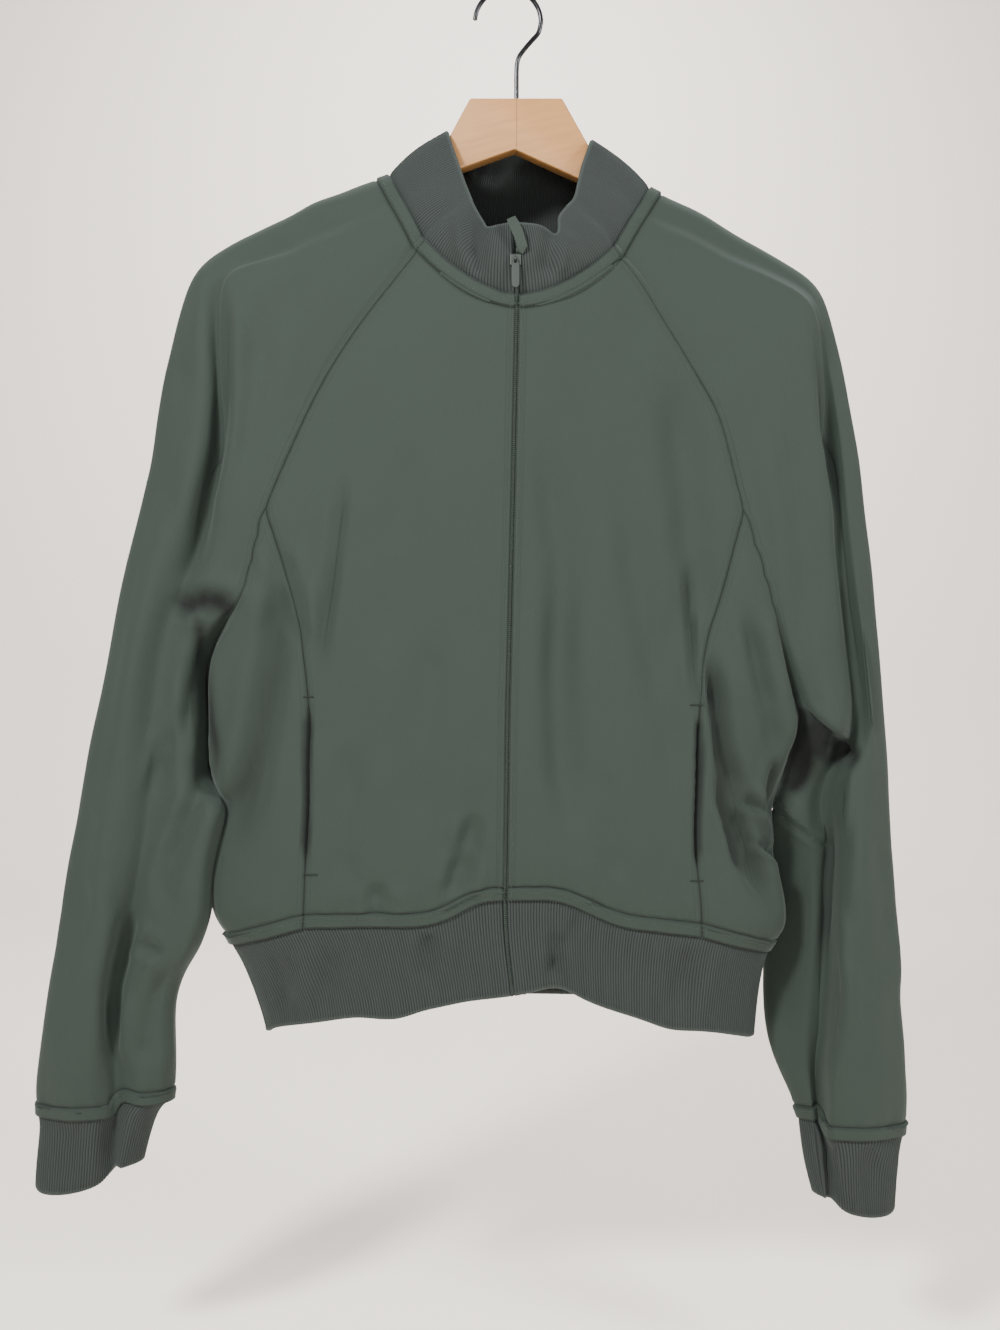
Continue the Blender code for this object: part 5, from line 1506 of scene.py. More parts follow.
@dataclass
class RibPiece:
    """A ribbed piece over rows of control points, tucked under the strip at its seam."""

    name: str
    rows: np.ndarray
    zone: Zone
    closed: bool = False
    cut: RibCut = RibCut()

    def fit(self, seam: np.ndarray) -> None:
        """Move the control points so that the surface runs through their old places.

        Args:
            seam: where the seam row's points have to be.
        """
        wanted = self.rows
        across = np.arange(wanted.shape[1], dtype=float)
        made = wanted.copy()
        made[0] = seam
        for _ in range(FIT_ROUNDS):
            reached = spline(made, np.arange(len(wanted), dtype=float))
            reached = np.swapaxes(spline(np.swapaxes(reached, 0, 1), across, self.closed), 0, 1)
            made[1:] += FIT_SHARE * (wanted - reached)[1:]
        self.rows = made

    def columns(self) -> tuple:
        """Places across the rows for each vertex, and how far round its rib each one is.

        Returns:
            Two arrays.
        """
        middle = self.rows[len(self.rows) // 2]
        last = len(middle) if self.closed else len(middle) - 1
        fine = np.linspace(0, last, last * 24 + 1)
        line = spline(middle, fine, self.closed)
        run = np.concatenate(([0.0], np.cumsum(np.linalg.norm(np.diff(line, axis=0), axis=1))))
        count = int(round(run[-1] / self.cut.pitch)) * self.cut.per_rib
        steps = np.arange(count + (0 if self.closed else 1))
        return np.interp(steps / count * run[-1], run, fine), steps / self.cut.per_rib

    def smooth(self, places: np.ndarray) -> tuple:
        """Rows of points on the smooth surface, two of them tucked under the strip.

        Args:
            places: places across the rows.

        Returns:
            Points and outward directions by row and column, and whether these were turned.
        """
        down = np.linalg.norm(np.diff(self.rows, axis=0), axis=2).mean(axis=1).sum()
        count = max(8, int(down / self.cut.row_step))
        grid = spline(self.rows, np.linspace(0, len(self.rows) - 1, count + 1))
        grid = np.swapaxes(spline(np.swapaxes(grid, 0, 1), places, self.closed), 0, 1)
        away = grid[0] - grid[1]
        away /= np.linalg.norm(away, axis=1)[:, None]
        grid = np.concatenate(([grid[0] + away * tuck for tuck in self.cut.tuck], grid))
        across = np.roll(grid, -1, axis=1) - np.roll(grid, 1, axis=1)
        if not self.closed:
            across[:, 0], across[:, -1] = grid[:, 1] - grid[:, 0], grid[:, -1] - grid[:, -2]
        normals = np.cross(np.gradient(grid, axis=0), across)
        normals /= np.maximum(np.linalg.norm(normals, axis=2), NEAR_ZERO)[:, :, None]
        front = self.cut.seen_columns[self.closed]
        flip = normals[len(grid) // 2, front, 1] > 0
        return grid, -normals if flip else normals, flip

    def creased(self, spots: np.ndarray, out: np.ndarray) -> np.ndarray:
        """How far unevenness and creases move each point outwards.

        Args:
            spots: the points.
            out: their outward directions.

        Returns:
            Lift in millimetres.
        """
        seen = PICTURE.project(spots) * PICTURE.pixel
        x, z = spots[:, 0], spots[:, 2]
        lift = 0.5 * np.sin(x / 11.0 + z / 23.0) * np.sin(z / 19.0 + 1.0)
        for crease in RIB_CREASES:
            behind = crease.zone is Zone.COLLAR_BACK and self.zone is Zone.COLLAR
            if crease.zone is self.zone or behind:
                turned = smooth_step(out[:, 1] if behind else -out[:, 1], *TURN)
                lift = lift + crease_shape(seen, crease.scaled(PICTURE.pixel))[0] * turned
        return lift

    def surface(self) -> Surface:
        """The outer side with its ribs, seam row first.

        Returns:
            The surface.
        """
        cut = self.cut
        places, phase = self.columns()
        grid, normals, flip = self.smooth(places)
        profile = np.abs(np.sin(np.pi * phase)) ** cut.roundness - cut.roundness
        start = np.linalg.norm(grid - grid[2], axis=2).mean(axis=1)
        start[:2] = 0.0
        sink = cut.seam_sink * np.exp(-start / cut.seam_reach)
        sink[:2] = cut.tuck_sink
        sway = 1 + 0.18 * np.sin(phase * 0.9 + 1.0)[None, :] * np.cos(start / 17.0)[:, None]
        lift = cut.height * profile[None, :] * sway * (1 - 0.5 * np.exp(-start / 2.0))[:, None]
        relief = self.creased(grid.reshape(-1, 3), normals.reshape(-1, 3))
        lift = lift + relief.reshape(lift.shape) * smooth_step(start, 0.0, 12.0)[:, None]
        grid = grid + normals * (lift - sink[:, None])[:, :, None]
        rows, columns = grid.shape[:2]
        number = np.arange(rows * columns).reshape(rows, columns)
        right = np.roll(number, -1, axis=1)
        if not self.closed:
            number, right = number[:, :-1], right[:, :-1]
        faces = np.stack((number[:-1], number[1:], right[1:], right[:-1]), axis=2).reshape(-1, 4)
        if flip:
            faces = faces[:, ::-1]
        # Depth across each rib, from 0 in the groove up towards 1 on top; it sets the painted
        # groove shade
        self.depth = np.clip(0.5 + np.tile(profile, rows), 0.0, 1.0)
        # Distance from the free edge, for the painted highlight there
        self.rim_gap = np.repeat(np.minimum(start[-1] - start, FAR), columns)
        points, out = grid.reshape(-1, 3), normals.reshape(-1, 3)
        a, b, c, d = points[faces[0]]
        if np.dot(np.cross(c - a, d - b), out[faces[0, 0]]) < 0:
            faces = faces[:, ::-1]
        return Surface(points, out, faces)


def whole_line(parts: Sequence) -> list:
    """One line from parts that share their end points.

    Args:
        parts: lists of points.

    Returns:
        The points.
    """
    line = list(parts[0])
    for part in parts[1:]:
        line += list(part)[1:]
    return line


# How far the inner edge of each sleeve ring is drawn over or behind the body's side: the
# left one passes in front of it, the right one behind. Sideways and forward, by ring.
TUCKS = {
    LEFT: ((0, 0), (13, -17), (12, -20), (8, -19), (7, -18), (5, -14), (2, -8), (0, -3)),
    RIGHT: ((0, 0), (-9, 18), (-14, 27), (-14, 28), (-14, 28), (-13, 26), (-11, 22), (-9, 16),
            (-5, 10), (-2, 4)),
}
# The share of it that the ring's columns beside the inner edge take, in front and behind
TUCK_SHARES = {0: 1.0, 1: 0.9, 2: 0.6, 3: 0.2, -1: 0.9, -2: 0.6, -3: 0.2}
# How far the body's left side goes outwards below the armpit, and backwards for each of these
LEFT_SIDE_SHIFT, SHIFT_BACK = (0, 14, 11, 6, 3, 2, 0), 1.6


def tucked(tube: Rows, side: int) -> Rows:
    """Sleeve rings with their inner edge drawn over or behind the body's side.

    Args:
        tube: rings from the armpit down.
        side: LEFT or RIGHT.

    Returns:
        The rings.
    """
    for ring, (across, back) in zip(tube, TUCKS[side]):
        for column, share in TUCK_SHARES.items():
            ring[column] = ring[column] + np.array((across * share, back * share, 0.0))
    return tube


def garment_rows() -> dict:
    """Rows of control points of both sides: yoke, skirt, band, collar, sleeve tube and cuff.

    Returns:
        Rows by side and name.
    """
    rows = {}
    for side in (LEFT, RIGHT):
        yoke = yoke_side(side)
        skirt = skirt_side(side, yoke)
        if side == LEFT:
            for i, shift in enumerate(LEFT_SIDE_SHIFT):
                moved = skirt["side"][i][-1] + np.array((-shift, SHIFT_BACK * shift, 0.0))
                skirt["side"][i][-1] = skirt["back"][i][0] = moved
        ring = list(yoke["sleeve"][-1]) + list(yoke["sleeve_back"][-1])[1:-1]
        tube = with_strip(tucked([ring] + tube_rows(SLEEVES[side])[1:], side), at_end=True)
        rows[side] = {"yoke": yoke, "skirt": skirt, "band": band_side(side, skirt), "tube": tube,
                      "collar": collar_side(side, yoke),
                      "cuff": [tube[-1]] + tube_rows(CUFFS[side], CUFF_BELLY)}
    return rows


def rib_pieces(rows: dict, fitted: Callable) -> list:
    """The collar, hem band and cuffs.

    Args:
        rows: control points of both sides.
        fitted: gives where the cloth moved a seam row's points to.

    Returns:
        Rib pieces.
    """
    left, right = rows[LEFT], rows[RIGHT]
    collar = [list(a) + list(b)[::-1][1:] for a, b in zip(left["collar"], right["collar"])]
    band = []
    for i in range(len(left["band"]["front"])):
        halves = [whole_line([made["band"][name][i] for name in BELOW])
                  for made in (left, right)]
        band.append(halves[0] + halves[1][::-1][1:])
    made = [RibPiece("collar", np.array(collar), Zone.COLLAR),
            RibPiece("hem_band", np.array(band), Zone.BAND),
            RibPiece("cuff_left", np.array(left["cuff"]), Zone.CUFF_LEFT, closed=True),
            RibPiece("cuff_right", np.array(right["cuff"]), Zone.CUFF_RIGHT, closed=True)]
    for piece in made:
        piece.fit(fitted(piece.rows[0]))
    return made


# ---- materials

class Value:
    """A number in a material's node tree that arithmetic can be written with."""

    def __init__(self, graph: "Graph", socket: Any) -> None:
        """Keep the socket that gives the number."""
        self.graph = graph
        self.socket = socket

    def __add__(self, other: Any) -> "Value":
        """Sum."""
        return self.graph.maths("ADD", self, other)

    def __sub__(self, other: Any) -> "Value":
        """Difference."""
        return self.graph.maths("SUBTRACT", self, other)

    def __rsub__(self, other: Any) -> "Value":
        """Difference from a plain number."""
        return self.graph.maths("SUBTRACT", other, self)

    def __mul__(self, other: Any) -> "Value":
        """Product."""
        return self.graph.maths("MULTIPLY", self, other)

    def __truediv__(self, other: Any) -> "Value":
        """Quotient."""
        return self.graph.maths("DIVIDE", self, other)

    def __pow__(self, other: Any) -> "Value":
        """Power."""
        return self.graph.maths("POWER", self, other)

    __radd__ = __add__
    __rmul__ = __mul__


class Graph:
    """A new material and the nodes in it."""

    def __init__(self, name: str) -> None:
        """Make the material with its Principled shader.

        Args:
            name: of the material.
        """
        self.material = bpy.data.materials.new(name)
        self.material.use_nodes = True
        self.tree = self.material.node_tree
        self.shader = self.tree.nodes["Principled BSDF"]

    def node(self, kind: str, settings: Optional[dict] = None, **inputs: Any) -> Any:
        """Add a node.

        Args:
            kind: its type.
            settings: properties of the node.
            inputs: input names, _ for a space, with numbers, colours or values.

        Returns:
            The node.
        """
        made = self.tree.nodes.new(kind)
        for name, value in (settings or {}).items():
            setattr(made, name, value)
        for name, value in inputs.items():
            self.put(made.inputs[name.replace("_", " ")], value)
        return made

    def put(self, socket: Any, value: Any) -> None:
        """Give a socket a number or join it to a value.

        Args:
            socket: an input.
            value: number, colour or value.
        """
        if isinstance(value, Value):
            self.tree.links.new(value.socket, socket)
        else:
            socket.default_value = value

    def maths(self, operation: str, first: Any, second: Any = 0.0, clamp: bool = False) -> Value:
        """Result of one Math node.

        Args:
            operation: the node's operation.
            first: number or value.
            second: number or value.
            clamp: whether it is kept from 0 to 1.

        Returns:
            The value.
        """
        made = self.tree.nodes.new("ShaderNodeMath")
        made.operation, made.use_clamp = operation, clamp
        for socket, value in zip(made.inputs, (first, second)):
            self.put(socket, value)
        return Value(self, made.outputs[0])

    def place(self) -> Value:
        """Object coordinates."""
        return Value(self, self.node("ShaderNodeTexCoord").outputs["Object"])

    def stretched(self, scale: Sequence) -> Value:
        """Object coordinates scaled along each axis."""
        made = self.node("ShaderNodeMapping", Vector=self.place(), Scale=tuple(scale))
        return Value(self, made.outputs["Vector"])

    def noise(self, scale: float, detail: float = 2.0, vector: Optional[Value] = None) -> Value:
        """Noise from 0 to 1.

        Args:
            scale: of the noise.
            detail: of the noise.
            vector: where it is read, if not at the object coordinates.

        Returns:
            The value.
        """
        made = self.node("ShaderNodeTexNoise", Vector=vector or self.place(), Scale=scale,
                         Detail=detail)
        return Value(self, made.outputs["Fac"])

    def blend(self, share: Any, first: Any, second: Any) -> Value:
        """Mix of two colours.

        Args:
            share: of the second colour.
            first: colour where it is 0.
            second: colour where it is 1.

        Returns:
            The colour.
        """
        made = self.node("ShaderNodeMix", {"data_type": "RGBA"})
        for k, value in ((0, share), (6, first), (7, second)):
            self.put(made.inputs[k], value)
        return Value(self, made.outputs[2])

    def attribute(self, name: str) -> Value:
        """A float attribute of the mesh."""
        made = self.node("ShaderNodeAttribute", {"attribute_name": name})
        return Value(self, made.outputs["Fac"])

    def line(self, name: str, middle: float, half: float) -> Value:
        """1 where a distance attribute has its middle value, down to 0 beside it."""
        away = self.maths("ABSOLUTE", self.attribute(name) - middle)
        return self.maths("SUBTRACT", 1.0, away / half, clamp=True)

    def bump(self, height: Value, strength: float, distance: float) -> None:
        """Bump the surface."""
        made = self.node("ShaderNodeBump", Height=height, Strength=strength, Distance=distance)
        self.put(self.shader.inputs["Normal"], Value(self, made.outputs["Normal"]))

    def finish(self, **inputs: Any) -> bpy.types.Material:
        """Set inputs of the shader and give the material.

        Args:
            inputs: input names, _ for a space, with numbers, colours or values.

        Returns:
            The material.
        """
        for name, value in inputs.items():
            self.put(self.shader.inputs[name.replace("_", " ")], value)
        return self.material


# Dark lines painted on the sewn cloth as shade, in and beside the seams, in the strip grooves, at
# the zip's edges and along crisp folds: distance attribute, its value on the line, half width,
# strength
PAINTED_SHADE_LINES = (
    ("seam_gap", 0.0, 0.95, 0.88), ("seam_gap", 0.0, 3.0, 0.25), ("seam_gap", 4.4, 0.55, 0.2),
    ("edge_gap", 9.0, 0.95, 0.85), ("edge_gap", 9.4, 2.6, 0.25), ("edge_gap", 0.0, 1.1, 0.85),
    ("zip_gap", 0.0, 0.8, 0.8), ("zip_gap", 4.6, 0.6, 0.25), ("fold_gap", 0.0, 0.7, 0.7),
    ("fold_gap", 0.0, 3.4, 0.2),
)
# How dark the painted groove shade of the inner side is, and how much paler a painted highlight
# makes a rib's curled free edge
INNER_SHADE_SHARE = 0.35
RIM_HIGHLIGHT_SHARE = 0.3


@dataclass(frozen=True)
class ClothFinish:
    """Look of one knitted cloth, with painted shade and a painted highlight where it asks for them.
    """

    name: str
    base: Paint
    dark: Paint
    roughness: float
    sheen: float
    grain: float
    # grooves paints shade in the rib grooves and a highlight on the free edge; seams paints shade
    # in troughs, slits, seams and folds
    grooves: bool = False
    seams: bool = False

    def make(self) -> bpy.types.Material:
        """Make its nodes.

        Returns:
            The material.
        """
        graph = Graph(self.name)
        blotches = graph.noise(9.0, 3.0) * 0.6 + graph.noise(60.0, 2.0) * 0.4
        colour = graph.blend(blotches, self.dark, self.base)
        if self.seams:
            # Painted shade: the shade attribute of crease troughs, armpit hollows and pocket slits,
            # and the dark lines above, mixed towards near black
            deep = graph.attribute("shade") * 0.95
            for name, middle, half, strength in PAINTED_SHADE_LINES:
                deep = graph.maths("MAXIMUM", deep, graph.line(name, middle, half) * strength)
            colour = graph.blend(deep, colour, tuple(0.1 * c for c in self.dark[:3]) + (1.0,))
        if self.grooves:
            # Painted shade in the rib grooves, darkest at the bottom of each groove
            depth = graph.attribute("groove")
            shade = tuple(0.22 * c for c in self.dark[:3]) + (1.0,)
            colour = graph.blend(depth ** 0.9, shade, colour)
            # Painted highlight along a rib's curled free edge
            pale = tuple(2.6 * c for c in self.base[:3]) + (1.0,)
            colour = graph.blend(graph.line("rim_gap", 0.0, 2.2) * RIM_HIGHLIGHT_SHARE, colour, pale)
        knit = graph.noise(self.grain, 2.0, graph.stretched((1.0, 1.0, 0.55)))
        graph.bump(knit, 0.35, 0.0005)
        graph.shader.inputs["Sheen Weight"].default_value = self.sheen
        graph.shader.inputs["Sheen Roughness"].default_value = 0.5
        graph.shader.inputs["Sheen Tint"].default_value = (0.75, 0.9, 0.82, 1.0)
        graph.shader.inputs["Specular IOR Level"].default_value = 0.25
        return graph.finish(Base_Color=colour, Roughness=self.roughness + 0.08 * blotches)


@dataclass(frozen=True)
class MetalFinish:
    """Look of one metal."""

    name: str
    base: Paint
    roughness: float

    def make(self) -> bpy.types.Material:
        """Make its nodes.

        Returns:
            The material.
        """
        graph = Graph(self.name)
        wear = graph.noise(400.0, 3.0)
        return graph.finish(Base_Color=self.base, Metallic=1.0,
                            Roughness=self.roughness + 0.12 * wear)


@dataclass(frozen=True)
class WoodFinish:
    """Look of the hanger's wood: fine grain along the arms and a joint line in the middle."""

    name: str
    pale: Paint
    warm: Paint
    joint: float

    def make(self) -> bpy.types.Material:
        """Make its nodes.

        Returns:
            The material.
        """
        graph = Graph(self.name)
        split = graph.node("ShaderNodeSeparateXYZ", Vector=graph.place())
        x, z = Value(graph, split.outputs["X"]), Value(graph, split.outputs["Z"])
        lean = graph.node("ShaderNodeCombineXYZ", X=x * 14.0 + z * 9.0, Y=0.0,
                          Z=z * 150.0 - x * 38.0)
        grain = graph.noise(1.6, 4.0, Value(graph, lean.outputs["Vector"]))
        colour = graph.blend(grain, self.pale, self.warm)
        gap = graph.maths("ABSOLUTE", x - self.joint)
        line = graph.maths("LESS_THAN", gap, 0.00035)
        colour = graph.blend(line * 0.55, colour, tuple(0.35 * c for c in self.warm[:3]) + (1.0,))
        graph.bump(grain, 0.12, 0.0004)
        return graph.finish(Base_Color=colour, Roughness=0.42 + 0.12 * grain, Coat_Weight=0.15)


CLOTH_LOOK = ClothFinish("jersey", (0.0160, 0.0243, 0.0186, 1), (0.0132, 0.0203, 0.0154, 1),
                         0.8, 0.06, 900.0, seams=True)
RIB_LOOK = ClothFinish("rib_knit", (0.0236, 0.0292, 0.0270, 1), (0.0198, 0.0252, 0.0232, 1),
                       0.84, 0.05, 1100.0, grooves=True)
TAPE_LOOK = ClothFinish("zip_tape", (0.021, 0.029, 0.023, 1), (0.015, 0.022, 0.017, 1),
                        0.75, 0.04, 1500.0)
# Thread of the bar tacks, a darker copy of the thread colour with painted shade in it
SHADED_TACK_LOOK = ClothFinish("tack_thread", (0.009, 0.012, 0.010, 1), (0.006, 0.009, 0.007, 1),
                        0.7, 0.0, 2000.0)
THREAD_LOOK = ClothFinish("thread", (0.019, 0.027, 0.0215, 1), (0.015, 0.022, 0.017, 1),
                          0.6, 0.1, 2000.0)
ZIP_LOOK = MetalFinish("zip_metal", (0.045, 0.052, 0.047, 1), 0.5)
STEEL_LOOK = MetalFinish("hook_steel", (0.035, 0.035, 0.037, 1), 0.2)
WOOD_LOOK = WoodFinish("hanger_wood", (0.41, 0.205, 0.068, 1), (0.25, 0.110, 0.031, 1), 0.0061)


# ---- pieces

def place(name: str, mesh: bpy.types.Mesh, look: bpy.types.Material, slot: str,
          body: str = "jacket") -> bpy.types.Object:
    """Put a finished piece in the scene.

    Args:
        name: object name.
        mesh: its mesh in metres.
        look: its material.
        slot: material slot of the record; not used.
        body: body it rides on.

    Returns:
        The object.
    """
    mesh.materials.clear()
    mesh.materials.append(look)
    made = bpy.data.objects.new(name, mesh)
    bpy.context.collection.objects.link(made)
    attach(made, body)
    LOG.info("%s: %d faces", name, len(mesh.polygons))
    return made


class Repeat:
    """Copies of a small mesh along a line, made by geometry nodes and baked."""

    def __init__(self, name: str, bead: bpy.types.Mesh, look: bpy.types.Material) -> None:
        """Build the node tree: resample, copy, turn along the line, realise, paint.

        Args:
            name: of the piece.
            bead: mesh that is copied.
            look: its material.
        """
        self.name = name
        self.look = look
        self.bead = bpy.data.objects.new(name + "_bead", bead)
        bpy.context.collection.objects.link(self.bead)
        tree = bpy.data.node_groups.new(name + "_along", "GeometryNodeTree")
        shape, number = "NodeSocketGeometry", "NodeSocketFloat"
        add = tree.interface.new_socket
        add("Line", in_out="INPUT", socket_type=shape)
        spacing = add("Spacing", in_out="INPUT", socket_type=number)
        unevenness = add("Unevenness", in_out="INPUT", socket_type=number)
        add("Pieces", in_out="OUTPUT", socket_type=shape)
        self.tree, self.spacing, self.unevenness = tree, spacing.identifier, unevenness.identifier
        source, result = tree.nodes.new("NodeGroupInput"), tree.nodes.new("NodeGroupOutput")
        resample = self.node("GeometryNodeResampleCurve", {"mode": "LENGTH"})
        tangent = self.node("GeometryNodeInputTangent")
        up = self.node("GeometryNodeInputNormal")
        turn = self.node("FunctionNodeAxesToRotation", {"primary_axis": "X", "secondary_axis": "Z"})
        info = self.node("GeometryNodeObjectInfo")
        info.inputs["Object"].default_value = self.bead
        chance = self.node("FunctionNodeRandomValue", {"data_type": "FLOAT"})
        chance.inputs[2].default_value = 1.0
        chance.inputs["Seed"].default_value = SEED
        size = self.node("ShaderNodeMath", {"operation": "MULTIPLY_ADD"})
        size.inputs[2].default_value = 1.0
        copies = self.node("GeometryNodeInstanceOnPoints")
        realise = self.node("GeometryNodeRealizeInstances")
        paint = self.node("GeometryNodeSetMaterial")
        paint.inputs["Material"].default_value = look
        for start, end in (
                (source.outputs["Line"], resample.inputs["Curve"]),
                (source.outputs["Spacing"], resample.inputs["Length"]),
                (resample.outputs["Curve"], copies.inputs["Points"]),
                (info.outputs["Geometry"], copies.inputs["Instance"]),
                (tangent.outputs["Tangent"], turn.inputs["Primary Axis"]),
                (up.outputs["Normal"], turn.inputs["Secondary Axis"]),
                (turn.outputs["Rotation"], copies.inputs["Rotation"]),
                (chance.outputs[1], size.inputs[0]),
                (source.outputs["Unevenness"], size.inputs[1]),
                (size.outputs[0], copies.inputs["Scale"]),
                (copies.outputs["Instances"], realise.inputs["Geometry"]),
                (realise.outputs["Geometry"], paint.inputs["Geometry"]),
                (paint.outputs["Geometry"], result.inputs["Pieces"])):
            tree.links.new(start, end)

    def node(self, kind: str, settings: Optional[dict] = None) -> Any:
        """Add a node.

        Args:
            kind: its type.
            settings: properties of the node.

        Returns:
            The node.
        """
        made = self.tree.nodes.new(kind)
        for name, value in (settings or {}).items():
            setattr(made, name, value)
        return made

    def bake(self, lines: Sequence, spacing: float, uneven: float, slot: str) -> bpy.types.Object:
        """One mesh of the copies along all lines.

        Args:
            lines: lines of points in millimetres.
            spacing: millimetres from one copy to the next.
            uneven: how much the copies differ in size.
            slot: material slot of the record.

        Returns:
            The object.
        """
        curve = bpy.data.curves.new(self.name + "_lines", "CURVE")
        curve.dimensions = "3D"
        for line in lines:
            run = curve.splines.new("POLY")
            run.points.add(len(line) - 1)
            for spot, at in zip(run.points, line):
                spot.co = (*(np.array(at) * MM), 1.0)
        made = bpy.data.objects.new(self.name + "_lines", curve)
        bpy.context.collection.objects.link(made)
        step = made.modifiers.new("along", "NODES")
        step.node_group = self.tree
        step[self.spacing] = spacing * MM
        step[self.unevenness] = uneven
        graph = bpy.context.evaluated_depsgraph_get()
        mesh = bpy.data.meshes.new_from_object(made.evaluated_get(graph))
        made.modifiers.remove(step)
        for used in (made, self.bead):
            bpy.data.objects.remove(used)
        mesh.shade_smooth()
        return place(self.name, mesh, self.look, slot)


def capsule(length: float, radius: float, sides: int = 6) -> bpy.types.Mesh:
    """Small rod along X with tapered ends.

    Args:
        length: in millimetres.
        radius: in millimetres.
        sides: faces round it.

    Returns:
        Its mesh in metres.
    """
    stations = ((-0.5, 0.25), (-0.36, 0.9), (0.0, 1.0), (0.36, 0.9), (0.5, 0.25))
    points, faces = [], []
    for at, share in stations:
        for k in range(sides):
            angle = 2 * math.pi * k / sides
            points.append((at * length * MM, radius * share * math.cos(angle) * MM,
                           radius * share * math.sin(angle) * MM))
    for i in range(len(stations) - 1):
        for k in range(sides):
            a, b = i * sides + k, i * sides + (k + 1) % sides
            faces.append((a, a + sides, b + sides, b)[::-1])
    faces.append(tuple(range(sides))[::-1])
    faces.append(tuple(range((len(stations) - 1) * sides, len(stations) * sides)))
    mesh = bpy.data.meshes.new("rod")
    mesh.from_pydata(points, [], faces)
    return mesh


# Flat cut of each piece as the report gives it: width and length in metres, and its share
# of that rectangle
FlatCut = namedtuple("FlatCut", "width length share")
CUTS = {
    "front_left": FlatCut(0.172, 0.475, 0.758), "front_right": FlatCut(0.163, 0.475, 0.784),
    "side_left": FlatCut(0.104, 0.337, 0.736), "side_right": FlatCut(0.097, 0.328, 0.707),
    "back": FlatCut(0.445, 0.560, 0.745), "sleeve_left": FlatCut(0.283, 0.755, 0.805),
    "sleeve_right": FlatCut(0.266, 0.730, 0.816), "collar": FlatCut(0.515, 0.066, 0.820),
    "hem_band": FlatCut(0.800, 0.067, 1.000), "cuff_left": FlatCut(0.219, 0.058, 0.900),
    "cuff_right": FlatCut(0.193, 0.060, 0.950),
}


